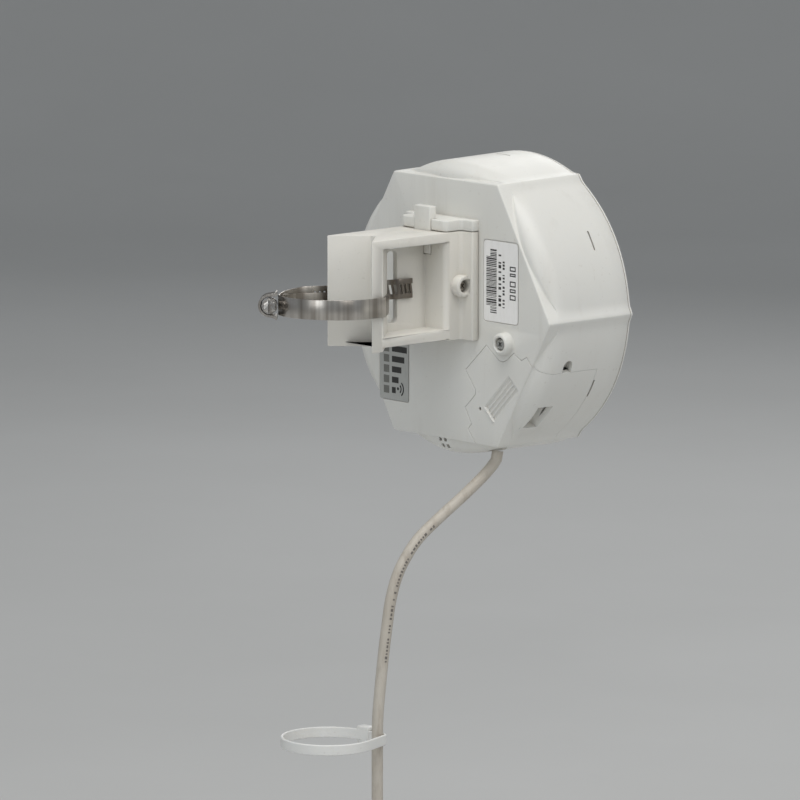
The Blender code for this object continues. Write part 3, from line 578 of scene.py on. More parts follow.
def moulded(name, base, dirt, pale, roughness=(0.4, 0.52)):
    """Moulded plastic: fine spark texture, slow colour drift, painted highlight on the edges, painted shade
    in grooves.
    """
    look = Look(name)
    drift = look.span(look.noise(14.0, 4.0), 0.3, 0.7)
    tone = look.mix(drift, base, tuple(c * k for c, k in zip(base, (0.965, 0.96, 0.945))))
    speck = look.span(look.noise(420.0, 2.0, 0.7), 0.66, 0.8, 0.0, 0.35)
    tone = look.mix(speck, tone, dirt)
    streaks = look.noise(1.0, 5.0, 0.6, look.stretched((90.0, 90.0, 9.0)))
    tone = look.mix(look.span(streaks, 0.55, 0.8, 0.0, 0.22), tone, dirt)
    # painted highlight: the edges lightened towards the pale colour
    tone = look.mix(look.maths("MULTIPLY", look.edges(0.7), 0.5), tone, pale)
    # painted shade: corners and grooves darkened towards the dirt colour by ambient occlusion
    tone = look.mix(look.maths("MULTIPLY", look.crevice_shade(3.0), 0.55), tone, dirt)
    look.colour(tone)
    look.rough(look.span(look.noise(55.0, 5.0), 0.25, 0.75, *roughness))
    look.bump([(look.noise(1500.0, 2.0), 0.012), (look.noise(30.0, 2.0), 0.05)], 0.35)
    look.shader.inputs["Subsurface Weight"].default_value = 0.06
    look.shader.inputs["Subsurface Radius"].default_value = (0.002, 0.0017, 0.0013)
    return look.made


def brushed(name, base, dark, roughness=(0.2, 0.38), lines=(40.0, 40.0, 3000.0), shade_past=None):
    """Rolled steel: fine drawn lines and faint blotches, with painted shade in crevices and past a depth."""
    look = Look(name, metallic=1.0)
    drawn = look.noise(1.0, 3.0, 0.6, look.stretched(lines))
    blotch = look.span(look.noise(120.0, 4.0), 0.35, 0.7)
    tone = look.mix(look.maths("MULTIPLY", blotch, 0.25), base, dark)
    tone = look.mix(look.span(drawn, 0.42, 0.62, 0.0, 0.7), tone, dark)
    # painted shade: crevices darkened towards the dark colour by ambient occlusion
    tone = look.mix(look.maths("MULTIPLY", look.crevice_shade(1.5), 0.8), tone, dark)
    # painted shade: past this depth the steel is darkened towards the dark colour, where the band's tail
    # lies in shade
    if shade_past:
        far_shade = look.span(look.depth(), shade_past * MM, (shade_past + 3) * MM, 0.0, 0.85)
        tone = look.mix(far_shade, tone, dark)
    look.colour(tone)
    look.rough(look.span(drawn, 0.25, 0.75, *roughness))
    look.bump([(drawn, 0.006), (look.noise(60.0, 2.0), 0.02)], 0.15)
    return look.made


def film(name, base, dirt, roughness):
    """Printed label film: faint fibre, soft ripple and rubbed edges."""
    look = Look(name)
    fibre = look.noise(1.0, 4.0, 0.6, look.stretched((900.0, 900.0, 220.0)))
    tone = look.mix(look.span(fibre, 0.45, 0.75, 0.0, 0.35), base, dirt)
    tone = look.mix(look.maths("MULTIPLY", look.edges(0.5), 0.5), tone, dirt)
    look.colour(tone)
    look.rough(look.span(look.noise(80.0, 3.0), 0.3, 0.7, roughness - 0.06, roughness + 0.06))
    look.bump([(fibre, 0.004), (look.noise(90.0, 2.0), 0.02)], 0.1)
    return look.made


def ink(name, base):
    """Printed ink, faintly worn."""
    look = Look(name)
    faded = tuple(c * 1.8 + 0.02 for c in base)
    worn = look.span(look.noise(900.0, 3.0, 0.7), 0.55, 0.72)
    look.colour(look.mix(look.maths("MULTIPLY", worn, 0.35), base, faded))
    look.rough(look.span(look.noise(300.0), 0.3, 0.7, 0.45, 0.62))
    look.bump([(look.noise(1200.0), 0.004)])
    return look.made


def rubber(name, base):
    look = Look(name, specular=0.3)
    bloom = look.span(look.noise(200.0, 4.0), 0.4, 0.7)
    look.colour(look.mix(bloom, base, tuple(c * 1.9 for c in base)))
    look.rough(look.span(look.noise(90.0), 0.3, 0.7, 0.62, 0.8))
    look.bump([(look.noise(1400.0, 2.0), 0.02)], 0.2)
    return look.made


def jacket(name, base, dirt, pale):
    """Cable jacket: drawn plastic with slow ripple, scuffs along it, handling dirt and painted shade in
    crevices.
    """
    look = Look(name)
    tone = look.mix(look.span(look.noise(40.0, 4.0), 0.35, 0.7), base, pale)
    grime = look.noise(1.0, 5.0, 0.65, look.stretched((260.0, 260.0, 60.0)))
    tone = look.mix(look.span(grime, 0.52, 0.75, 0.0, 0.5), tone, dirt)
    # painted shade: crevices and contacts darkened towards the dirt colour by ambient occlusion
    tone = look.mix(look.maths("MULTIPLY", look.crevice_shade(2.0), 0.5), tone, dirt)
    look.colour(tone)
    look.rough(look.span(grime, 0.3, 0.7, 0.4, 0.58))
    ripple = look.noise(1.0, 2.0, 0.5, look.stretched((700.0, 700.0, 45.0)))
    look.bump([(ripple, 0.05), (look.noise(1300.0), 0.006)])
    look.shader.inputs["Subsurface Weight"].default_value = 0.05
    look.shader.inputs["Subsurface Radius"].default_value = (0.0015, 0.0012, 0.0009)
    return look.made


def board_look(name):
    """Solder mask over copper: buried tracks, pads and a fine weave."""
    look = Look(name)
    bricks = look.node("ShaderNodeTexBrick", offset=0.37, squash=1.7, squash_frequency=3)
    bricks.inputs["Scale"].default_value = 260.0
    bricks.inputs["Mortar Size"].default_value = 0.06
    look.link(look.stretched((1.0, 1.0, 1.0), (90, 0, 0)), bricks.inputs["Vector"])
    track = look.maths("GREATER_THAN", bricks.outputs["Fac"], 0.5)
    tone = look.mix(track, (0.012, 0.075, 0.03), (0.03, 0.15, 0.06))
    pads = look.span(look.voronoi(330.0), 0.12, 0.1)
    tone = look.mix(pads, tone, (0.62, 0.5, 0.24))
    look.colour(tone)
    look.rough(look.span(look.noise(400.0), 0.3, 0.7, 0.28, 0.42))
    look.bump([(track, 0.02), (pads, 0.02), (look.noise(1800.0), 0.004)])
    return look.made


def clear(name, tint, roughness=(0.12, 0.3), share=0.8):
    look = Look(name)
    haze = look.noise(160.0, 4.0)
    look.colour(look.mix(haze, tint, tuple(c * 0.88 for c in tint)))
    look.rough(look.span(haze, 0.3, 0.7, *roughness))
    look.bump([(look.noise(500.0), 0.01)], 0.15)
    look.shader.inputs["Transmission Weight"].default_value = share
    look.shader.inputs["IOR"].default_value = 1.5
    return look.made


def floor_look(name):
    look = Look(name, specular=0.2)
    cloud = look.span(look.noise(2.0, 5.0), 0.3, 0.7)
    look.colour(look.mix(cloud, (0.56, 0.56, 0.55), (0.6, 0.6, 0.59)))
    look.rough(look.span(look.noise(9.0, 4.0), 0.3, 0.7, 0.75, 0.9))
    look.bump([(look.noise(300.0, 3.0), 0.05)])
    return look.made


# In the moulded looks the pale colour is a painted edge highlight, and the dirt colour also paints shade in
# grooves.
LOOKS = {
    "case": moulded("case_plastic", (0.765, 0.76, 0.725), (0.5, 0.46, 0.4), (0.88, 0.88, 0.86)),
    "bracket": moulded("bracket_plastic", (0.74, 0.72, 0.67), (0.46, 0.42, 0.36), (0.87, 0.86, 0.83),
                       (0.42, 0.56)),
    "nylon": moulded("tie_nylon", (0.8, 0.8, 0.78), (0.5, 0.46, 0.4), (0.9, 0.9, 0.88), (0.3, 0.42)),
    "dark": moulded("dark_plastic", (0.025, 0.025, 0.027), (0.08, 0.075, 0.07), (0.07, 0.07, 0.07)),
    # band_steel: shade_past paints shade on the band past 37 mm deep, where its tail lies in shade
    "steel": brushed("band_steel", (0.6, 0.57, 0.53), (0.17, 0.145, 0.12), (0.24, 0.4),
                     lines=(120.0, 120.0, 5.0), shade_past=37.0),
    "screw": brushed("screw_steel", (0.62, 0.6, 0.57), (0.26, 0.23, 0.2), (0.2, 0.36),
                     lines=(500.0, 500.0, 500.0)),
    "tin": brushed("shield_tin", (0.62, 0.62, 0.6), (0.3, 0.3, 0.29), (0.25, 0.45),
                   lines=(900.0, 40.0, 40.0)),
    "gold": brushed("patch_gold", (0.78, 0.56, 0.24), (0.45, 0.3, 0.12), (0.2, 0.35),
                    lines=(700.0, 90.0, 90.0)),
    "white_film": film("rating_film", (0.93, 0.92, 0.905), (0.8, 0.785, 0.75), 0.38),
    "grey_film": film("status_film", (0.45, 0.455, 0.435), (0.36, 0.36, 0.345), 0.42),
    "black_ink": ink("label_ink", (0.03, 0.029, 0.027)),
    "grey_ink": ink("window_ink", (0.17, 0.17, 0.155)),
    "jacket_ink": ink("jacket_ink", (0.17, 0.155, 0.14)),
    "rubber": rubber("seal_rubber", (0.02, 0.02, 0.022)),
    "pale_rubber": rubber("entry_rubber", (0.4, 0.385, 0.35)),
    "cable": jacket("cable_jacket", (0.5, 0.455, 0.39), (0.3, 0.25, 0.2), (0.58, 0.54, 0.475)),
    "board": board_look("circuit_board"),
    "clear": clear("clear_plastic", (0.86, 0.87, 0.85)),
    "lamp": clear("lamp_window", (0.66, 0.68, 0.64), (0.25, 0.45), 0.5),
}


def dress(piece, look, body=None, nodes=()):
    """Give a piece its material and slot, and ride it on a body in place of CAD nodes."""
    piece.data.materials.clear()
    piece.data.materials.append(LOOKS[look])
    if body:
        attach(piece, body)
    if nodes:
        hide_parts(*nodes)
    return piece


# Camera ---------------------------------------------------------------------------------------

def add_camera():
    lens = bpy.data.cameras.new("camera")
    lens.sensor_width = 36.0
    lens.lens = 18.0 / math.tan(math.radians(VIEW_ANGLE / 2))
    lens.clip_start = 0.05
    lens.clip_end = 60.0
    made = bpy.data.objects.new("camera", lens)
    PARTS.objects.link(made)
    made.location = CAMERA_AT
    aim = Vector(CAMERA_AIM) - made.location
    made.rotation_euler = aim.to_track_quat("-Z", "Y").to_euler()
    bpy.context.scene.camera = made


# Cable ----------------------------------------------------------------------------------------

def hold_frame():
    """Outwards from the pole through the held cable, and across it."""
    out = Vector((*CABLE_HOLD, 0.0)).normalized()
    return out, Vector((out.y, -out.x, 0.0))


def coil_centre():
    out, across = hold_frame()
    middle = out * (POLE_R + GAP + COIL_T / 2)
    return middle + across * (Vector((*CABLE_HOLD, 0.0)).dot(across) - LEAD_R) + UP * COIL_Z


def smooth_curve(points, spacing):
    """Points about spacing apart on a Catmull-Rom curve through the given ones."""
    spots = [Vector(point) for point in points]
    spots = [spots[0] * 2 - spots[1]] + spots + [spots[-1] * 2 - spots[-2]]
    line = []
    for index in range(1, len(spots) - 2):
        a, b, c, d = spots[index - 1:index + 3]
        steps = max(1, round((c - b).length / spacing))
        for step in range(steps):
            t = step / steps
            square = (2 * a - 5 * b + 4 * c - d) * t * t
            cube = (3 * b - a - 3 * c + d) * t ** 3
            line.append(0.5 * (2 * b + (c - a) * t + square + cube))
    return line + [spots[-2]]


def turn_place(turns):
    """Radius and sideways place in the winding after so many turns."""
    column = min(int(turns / COLUMN_TURNS), COLUMNS - 1)
    share = turns - column * COLUMN_TURNS
    if column % 2:
        share = COLUMN_TURNS - share
    radius = LEAD_R - TURN_PITCH * share
    moved = 0.0
    for change in range(1, COLUMNS):
        run = min(max((turns - change * COLUMN_TURNS + 0.15) / 0.4, 0.0), 1.0)
        moved += run * run * (3 - 2 * run)
    return radius, (moved - (COLUMNS - 1) / 2) * TURN_PITCH


def coil_line():
    """Four flat spirals side by side, wound in, out, in and out again."""
    out, across = hold_frame()
    centre = coil_centre()
    total = COLUMNS * COLUMN_TURNS
    line = []
    for step in range(int(total * POINTS_PER_TURN) + 1):
        turns = step / POINTS_PER_TURN
        radius, level = turn_place(turns)
        angle = 2 * math.pi * turns
        spoke = across * math.cos(angle) - UP * math.sin(angle)
        line.append(centre + spoke * radius + out * level)
    return line


def cable_line():
    """The whole cord: down from the case, along the pole, through the coil and to the plug."""
    x, y = CABLE_HOLD
    coil = coil_line()
    route = list(CABLE_ROUTE) + [(x, y, -240.0), (x, y, -254.0)]
    approach = smooth_curve(route + [tuple(coil[0] + UP * 22.0)], 3.0)
    enter = [coil[0] + UP * rise for rise in (22.0, 15.0, 9.0, 4.0)]
    leave = [coil[-1] - UP * drop for drop in (4.0, 9.0, 15.0, 22.0, 32.0)]
    return approach[:-1] + enter + coil + leave


def jacket_marks(line):
    """Short generic printed dashes along one side of the cable, where the pole doesn't hide it."""
    random.seed(11)
    steps = [0.0]
    for before, after in zip(line, line[1:]):
        steps.append(steps[-1] + (after - before).length)
    marks = []
    at = 50.0
    while at < 118.0:
        long = random.choice((0.7, 0.9, 1.3))
        marks.append(jacket_mark(line, steps, at, long, random.choice((0.9, 1.2))))
        at += long + (2.4 if random.random() < 0.22 else 0.75)
    return merged("cable_marks", marks)


def jacket_mark(line, steps, at, long, tall):
    """A thin curved patch on the side of the cable that faces outwards from the bracket."""
    rows = []
    for share in (0.0, 0.5, 1.0):
        want = at + long * share
        index = next(i for i, step in enumerate(steps) if step > want) - 1
        part = (want - steps[index]) / (steps[index + 1] - steps[index])
        spot = line[index].lerp(line[index + 1], part)
        along = (line[index + 1] - line[index]).normalized()
        face = Vector((0.95, -0.2, 0.0))
        face = (face - along * face.dot(along)).normalized()
        rows.append((spot, face, along.cross(face)))
    loops = []
    for spot, face, side in rows:
        loop = []
        for radius, sign in ((CABLE_D / 2 - 0.06, 1), (CABLE_D / 2 + 0.03, -1)):
            for turn in (-1.0, -0.33, 0.33, 1.0):
                angle = sign * turn * tall / CABLE_D
                loop.append(spot + (face * math.cos(angle) + side * math.sin(angle)) * radius)
        loops.append(loop)
    return rings("mark", loops)


def plug_place():
    """The far plug's upper end and its frame."""
    out, across = hold_frame()
    reach = math.sqrt((COIL_R + COIL_W / 2) ** 2 - (LEAD_R - CABLE_D / 2) ** 2)
    middle = coil_centre() + across * LEAD_R + out * (COLUMNS - 1) / 2 * TURN_PITCH
    middle.z = COIL_Z - reach - LEAD_GAP - PLUG_LEAD + 1.0
    return middle, out, across


def plug_piece(name, top, right, front):
    """A modular plug: clear body with a stepped nose, eight contact slots and a latch."""
    wide, deep, tall = PLUG_SIZE

    def at(a, b, c):
        return top + right * a + front * b - UP * c

    def box(low, high):
        loops = []
        for c in (low[2], high[2]):
            loops.append([at(a, b, c) for a, b in rectangle(low[0], high[0], low[1], high[1])])
        return rings("box", loops)

    def comb(half, near, far, start, end):
        """One box at each of the eight contacts."""
        places = [(index - 3.5) * CONTACT_PITCH for index in range(8)]
        return [box((a - half, near, start), (a + half, far, end)) for a in places]

    half = wide / 2
    section = ((0.0, -deep / 2 + 0.6), (0.6, -deep / 2), (tall - 3.2, -deep / 2),
               (tall - 3.0, -deep / 2 + 0.7), (tall - 0.4, -deep / 2 + 0.7), (tall, -deep / 2 + 1.1),
               (tall, deep / 2 - 1.7), (tall - 0.4, deep / 2 - 1.3), (1.2, deep / 2 - 1.3),
               (0.0, deep / 2 - 1.9))
    loops = []
    for a, shrink in ((-half, 0.3), (-half + 0.3, 0.0), (half - 0.3, 0.0), (half, 0.3)):
        loops.append([at(a, b * (1 - shrink / 4), 0.5 * shrink + c * (1 - shrink / tall))
                      for c, b in section])
    body = rings(name, loops)
    latch = [(tall - 1.2, deep / 2 - 1.4), (tall - 2.2, deep / 2 - 0.5), (6.0, deep / 2), (2.4, deep / 2),
             (2.4, deep / 2 - 0.8), (6.0, deep / 2 - 0.9), (tall - 3.4, deep / 2 - 1.5)]
    lever = rings("latch", [[at(a, b, c) for c, b in latch] for a in (-2.9, 2.9)])
    join(body, lever)
    cut(body, *comb(0.22, -deep / 2 - 1, -deep / 2 + 2.4, tall - 6.6, tall + 1))
    entry = rings("entry", [[at(a, b, c) for a, b in circle(0, -0.6, CABLE_D / 2 + 0.15)]
                            for c in (-1.0, 9.0)])
    cut(body, entry)
    blades = comb(0.15, -deep / 2 + 0.9, -deep / 2 + 2.2, tall - 6.2, tall - 1.0)
    return body, merged(name + "_contacts", blades)


def add_cable():
    line = cable_line()
    cable = dress(sweep("cable", line, CABLE_D / 2), "cable", None, ["data_cable", "cable_coil"])
    marks = dress(jacket_marks(line), "jacket_ink")
    for piece in (cable, marks):
        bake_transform(piece)
    top, out, across = plug_place()
    plug, contacts = plug_piece("cable_plug", top, across, out)
    dress(plug, "clear", "root", ["far_plug"])
    dress(contacts, "gold", "root")
    strap = dress(coil_strap(), "rubber", "root", ["coil_tie"])
    tie = dress(pole_tie(), "nylon", "root", ["cable_tie"])


def coil_strap():
    """A hook-and-loop strap round the bundle at the coil's top, with its end lapped over."""
    out, across = hold_frame()
    middle = coil_centre() + UP * COIL_R
    loops = []
    spots = []
    for part, out_by, up_by in ((1, 0.7, 0.6), (3, 1.5, 1.4)):
        half_out, half_up = COIL_T / 2 + out_by, COIL_W / 2 + up_by
        lap = rounded(-half_out, half_out, -half_up, half_up, 5.5, 10)
        spots += lap[:len(lap) // part]
    for index, (a, b) in enumerate(spots):
        before = Vector(spots[max(index - 1, 0)])
        after = Vector(spots[min(index + 1, len(spots) - 1)])
        along = (after - before).normalized()
        side = Vector((along.y, -along.x))
        loop = []
        for thick, level in ((-0.3, -5.0), (-0.4, -4.7), (-0.4, 4.7), (-0.3, 5.0), (0.3, 5.0),
                             (0.4, 4.7), (0.4, -4.7), (0.3, -5.0)):
            spot = middle + out * (a + side.x * thick) + UP * (b + side.y * thick)
            loop.append(spot + across * level)
        loops.append(loop)
    return rings("coil_strap", loops, 50)


def tie_outline(grow):
    """A loop round the pole and the cable held against it."""
    held = Vector(CABLE_HOLD)
    small = CABLE_D / 2 + grow
    big = POLE_R + grow
    aim = math.degrees(math.atan2(held.y, held.x))
    lean = math.degrees(math.acos((big - small) / held.length))
    round_cable = arc(held.x, held.y, small, aim - lean, aim + lean, 18)
    return round_cable + arc(0, 0, big, aim + lean, aim - lean + 360, 72)


def pole_tie():
    """A toothed nylon tie with its lock head and cut tail."""
    low, high = TIE_Z - TIE_H / 2, TIE_Z + TIE_H / 2
    section = ((0.3, low + 0.25), (0.55, low), (1.25, low), (1.5, low + 0.35), (1.5, high - 0.35),
               (1.25, high), (0.55, high), (0.3, high - 0.25))
    loops = [[(x, y, z) for x, y in tie_outline(grow)] for grow, z in section]
    tie = rings("pole_tie", loops, 50, closed=True)
    head = soft_block("tie_head", (-3.6, POLE_R + 0.5, TIE_Z - 4.0), (4.2, POLE_R + 5.6, TIE_Z + 4.0), 0.7)
    tail = soft_block("tie_tail", (4.0, POLE_R + 2.9, TIE_Z - 2.3), (6.6, POLE_R + 4.2, TIE_Z + 2.3), 0.3)
    join(tie, head)
    join(tie, tail)
    window = block("tie_window", (-2.2, POLE_R + 2.4, TIE_Z - 2.6), (5.0, POLE_R + 2.9, TIE_Z + 2.6))
    pawl = block("tie_pawl", (-5.0, POLE_R + 3.1, TIE_Z - 1.6), (-2.6, POLE_R + 4.6, TIE_Z + 1.6))
    return cut(tie, window, pawl)


# Case -----------------------------------------------------------------------------------------

def apothem(y):
    share = (y - BACK_Y) / (RIM_Y - BACK_Y)
    return (BACK_R + (RIM_R - BACK_R) * share) * math.cos(math.radians(30))


def crest(share):
    """How much of the bulge's height is left at a share of its half width, eased at its border."""
    rest = 1 - 0.84 * share * share
    return 0.499 * (rest + math.sqrt(rest * rest + 0.0064)) if share < 1.18 else 0.0


def stage_place(stage, share, rise):
    """(depth, height over the facet's flat) of one outline stage at a share across a facet."""
    kind, value = stage
    high = rise * crest(abs(share))
    if kind == "level":
        return value, high
    start = BACK_Y + SHOULDER_START + SHOULDER_DROP * min(abs(share), 1.0) ** 2
    foot = max(min(1.2, 0.3 * high, start - BACK_Y - EDGE_R), 0.02)
    if kind == "edge":
        turn = math.radians(value)
        return BACK_Y + EDGE_R * (1 - math.cos(turn)), -EDGE_R * (1 - math.sin(turn))
    if kind == "foot":
        turn = math.radians(value)
        return start - foot + foot * math.sin(turn), foot * (1 - math.cos(turn))
    first = math.asin(min(foot / max(high, 0.03), 0.9))
    turn = first + (math.pi / 2 - first) * value
    return start + SHOULDER * (math.cos(first) - math.cos(turn)), high * math.sin(turn)


def outline(stage, inward=0.0, deeper=0.0, rise=BULGE, level=None):
    """The case's outline at a stage, moved inward and deeper."""
    loop = []
    for facet in range(6):
        turn = math.radians(30 + 60 * facet)
        normal = Vector((math.cos(turn), math.sin(turn)))
        along = Vector((-math.sin(turn), math.cos(turn)))
        for share in SHARES:
            y, out = stage_place(stage, share, rise)
            flat = apothem(min(y, RIM_Y)) - inward
            across = share * BULGE_HALF * flat / apothem(BACK_Y)
            spot = normal * (flat + out) + along * across
            loop.append((spot.x, (y if level is None else level) + deeper, CASE_Z + spot.y))
        y, out = stage_place(stage, 1.2, rise)
        flat = apothem(min(y, RIM_Y)) - inward + min(out, 0.0)
        radius = CORNER_R * flat / apothem(BACK_Y)
        centre = (flat - radius) / math.cos(math.radians(30))
        for part in (15, 30, 45):
            bend = turn + math.radians(part)
            middle = turn + math.radians(30)
            spot = Vector((math.cos(middle), math.sin(middle))) * centre
            spot += Vector((math.cos(bend), math.sin(bend))) * radius
            loop.append((spot.x, (y if level is None else level) + deeper, CASE_Z + spot.y))
    return loop


def shell_solid(name):
    outer = [outline(("edge", turn)) for turn in (0, 30, 60, 90)]
    outer += [outline(("foot", turn)) for turn in (0, 30, 60, 90)]
    outer += [outline(("dome", step / 9)) for step in range(1, 10)]
    outer += [outline(("level", y)) for y in (88.5, 94.0, 100.0, 107.0, 114.0, RIM_Y - 0.5)]
    outer.append(outline(("level", RIM_Y - 0.15), 0.12, 0.0))
    outer.append(outline(("level", RIM_Y), 0.45))
    inner = [outline(("level", y), wall) for y, wall in (
        (RIM_Y, WALL), (RIM_STEP_Y, WALL), (RIM_STEP_Y, COLLAR_T), (115.0, COLLAR_T), (112.6, WALL),
        (100.0, WALL))]
    inner += [outline(("dome", step), WALL, WALL) for step in (0.9, 0.6, 0.3)]
    inner += [outline(("foot", 0), WALL, WALL), outline(("edge", 60), WALL, WALL)]
    return rings(name, outer + inner)


def on_facet(turn_deg, out, across, y):
    turn = math.radians(turn_deg)
    x = out * math.cos(turn) - across * math.sin(turn)
    return (x, y, CASE_Z + out * math.sin(turn) + across * math.cos(turn))


def facet_prism(name, turn_deg, shape, out0, out1):
    return rings(name, [[on_facet(turn_deg, out, a, y) for a, y in shape] for out in (out0, out1)])


def door_region():
    """The seam, closed well outside the case past the lower right facet."""
    out = Vector((math.cos(math.radians(-30)), math.sin(math.radians(-30)))) * 20
    corner = Vector(DOOR_SEAM[0]) + out
    region = [(DOOR_SEAM[-1][0], -85.0), (90.0, -85.0), tuple(corner)] + list(DOOR_SEAM)
    return [(x, z + CASE_Z) for x, z in region]


def door_cutter(name, gap, chamfer, front):
    """The door's region; it widens (or narrows) by the chamfer where it meets the back face."""
    steps = [(BACK_Y - 8.0, gap - chamfer), (BACK_Y, gap - chamfer), (BACK_Y + abs(chamfer), gap),
             (front, gap)]
    return stack(name, door_region(), steps, "y")


def exit_cut(name):
    x, y = EXIT_AT
    return prism(name, circle(x, y, GROMMET_R + GAP), CASE_Z - 75.0, CASE_Z - 58.5)


def hat_outline(front):
    """Plan of the knuckle and its base plate, with a rounded shoulder and a filleted foot."""
    right = arc(KNUCKLE_HALF - 2.7, KNUCKLE_Y + 2.7, 2.7, -90, 0, 8)
    right += arc(KNUCKLE_HALF + 2.0, BASE_Y - 2.0, 2.0, 180, 90, 6)
    right += arc(BASE_HALF - 0.8, BASE_Y + 0.8, 0.8, -90, 0, 4)
    right.append((BASE_HALF, front))
    return right + [(-x, y) for x, y in right[::-1]]


def rail():
    cap = soft_prism("rail_cap", hat_outline(BACK_Y + 1.0), CAP_LOW, CAP_TOP, 0.55)
    half, near, far = RAIL_HEAD
    head = [(half, near), (half, far), (RAIL_NECK, far), (RAIL_NECK, BACK_Y + 1.0)]
    bar = prism("rail_bar", head + [(-x, y) for x, y in head[::-1]], RAIL_LOW, CAP_LOW + 1.0)
    notch = block("cap_notch", (-KEY_HALF - 0.4, 50.0, CAP_LOW - 1.0), (KEY_HALF + 0.4, 62.0, CAP_TOP + 1.0))
    return cut(join(cap, bar), notch)


def at_boss(side):
    x, z = BOSS_AT
    return (side * x, BACK_Y - BOSS_OUT, CASE_Z + z)


def boss(side):
    """A rounded ring with a soft foot where it grows out of the back face."""
    profile = [(BOSS_R - edge, depth) for edge, depth in ((1.3, 0.0), (0.65, 0.18), (0.2, 0.6), (0.0, 1.2))]
    profile += [(BOSS_R, BOSS_OUT - 0.8), (BOSS_R + 0.25, BOSS_OUT - 0.25), (BOSS_R + 0.8, BOSS_OUT)]
    profile.append((BOSS_R + 0.8, BOSS_OUT + 1.0))
    return turned("back_boss", profile, at_boss(side), DEEPER)


def boss_hole(side):
    profile = [(3.7, -1.0), (3.7, 0.0), (3.15, 0.35), (3.0, 0.8), (3.0, 3.4), (1.9, 3.4), (1.9, 9.0)]
    return turned("boss_hole", profile, at_boss(side), DEEPER)


def standoff(x, z):
    post = turned("standoff", [(2.8, 0.0), (2.8, 4.5)], (x, BACK_Y + 1.0, CASE_Z + z), DEEPER, 24)
    return cut(post, turned("bore", [(1.4, 0.0), (1.4, 6.0)], (x, 74.6, CASE_Z + z), DEEPER, 24))


def recess(box, radius):
    x0, x1, z0, z1 = box
    shape = rounded(x0 - GAP, x1 + GAP, CASE_Z + z0 - GAP, CASE_Z + z1 + GAP, radius + GAP)
    steps = [(BACK_Y - 1.0, -0.22), (BACK_Y, -0.22), (BACK_Y + 0.2, 0.0), (BACK_Y + 0.5, 0.0)]
    return stack("recess", shape, steps, "y")


def led_hole(row):
    wide, tall = LED_SIZE
    z = CASE_Z + LED_TOP - row * LED_PITCH
    sides = (LED_X - wide / 2 - GAP, LED_X + wide / 2 + GAP, z - tall / 2 - GAP, z + tall / 2 + GAP)
    return prism("led_hole", rounded(*sides, 0.3), BACK_Y - 1.0, BACK_Y + 4.0, "y")


def vent(row, column):
    """A small slot cut through the lower edge and shoulder."""
    x = VENT_AT[0] + VENT_STEP[0] * column + VENT_LEAN * row
    z = CASE_Z - VENT_AT[1] - VENT_STEP[1] * row
    return prism("vent", rounded(x, x + VENT_SIZE, z - VENT_SIZE, z, 0.3, 2), 69.0, 77.5, "y")


def rear_case():
    """The rear half of the case, with everything that is moulded on it or cut in it."""
    shell = shell_solid("case_shell")
    join(shell, rail(), boss(-1), boss(1), *[standoff(x, z) for x, z in BOARD_HOLES],
         facet_prism("arch_back", -30, rectangle(7.4, 17.6, 84.2, 92.0), 60.8, 64.8))
    cut(shell, door_cutter("door_opening", 0.0, 0.22, DOOR_FRONT + DOOR_GAP))
    start, middle = ARCH_X
    arch = [(start, 85.4)] + arc(middle, ARCH_Y, ARCH_R, -90, 90, 14) + [(start, 90.8)]
    slit = rounded(-LATCH_HALF, LATCH_HALF, DOOR_FRONT + 0.2, DOOR_FRONT + 1.1, 0.4)
    slits = [facet_prism("slit", turn, slit, 64.0, 73.0) for turn in FACETS]
    cut(shell, exit_cut("shell_exit"), boss_hole(-1), boss_hole(1), *slits,
        facet_prism("door_arch", -30, arch, 62.6, 72.0), recess(RATING_AT, 1.5),
        *[vent(row, column) for row in range(2) for column in range(2)])
    cut(shell, recess(STATUS_AT, 0.6))
    cut(shell, *[led_hole(row) for row in range(5)])
    return dress(shell, "case", "unit", ["rear_shell"])


# Door -----------------------------------------------------------------------------------------

def grip_frame():
    turn = math.radians(45)
    return Vector((math.cos(turn), math.sin(turn))), Vector((math.sin(turn), -math.cos(turn)))


def grip_point(along_mm, across_mm):
    along, across = grip_frame()
    spot = Vector(GRIP_AT) + along * along_mm + across * across_mm
    return spot.x, CASE_Z + spot.y


def grip_well():
    """A shallow slanting recess that the grip's ridges stand in."""
    half = 1.5 * GRIP_PITCH + 1.1
    long = GRIP_LONG / 2 + 0.3
    corners = [grip_point(a * long, b * half) for a, b in ((-1, -1), (1, -1), (1, 1), (-1, 1))]
    steps = [(BACK_Y - 1.0, -0.35), (BACK_Y, -0.35), (BACK_Y + 0.3, 0.0), (BACK_Y + 0.34, 0.0)]
    return stack("grip_well", corners, steps, "y")


def grip_groove(row):
    """A groove with a round bottom."""
    middle = (row - 1.5) * GRIP_PITCH
    loops = []
    for end in (-1, 1):
        loop = []
        for turn in range(0, 181, 20):
            across = middle - 0.72 * math.cos(math.radians(turn))
            x, z = grip_point(end * GRIP_LONG / 2, across)
            loop.append((x, BACK_Y + 0.3 + 0.62 * math.sin(math.radians(turn)), z))
        for across in (0.72, -0.72):
            x, z = grip_point(end * GRIP_LONG / 2, middle + across)
            loop.append((x, BACK_Y - 1.0, z))
        loops.append(loop)
    return rings("grip_groove", loops)


def grip_lip():
    """The raised rim at the grip's lower end."""
    half = 1.5 * GRIP_PITCH + 1.3
    near, far = -GRIP_LONG / 2 - 1.5, -GRIP_LONG / 2 - 0.2
    corners = [grip_point(a, b) for a, b in ((near, -half), (far, -half), (far, half), (near, half))]
    steps = [(BACK_Y - 0.45, 0.45), (BACK_Y - 0.36, 0.2), (BACK_Y - 0.12, 0.03), (BACK_Y + 0.6, 0.0)]
    return stack("grip_lip", corners, steps, "y")


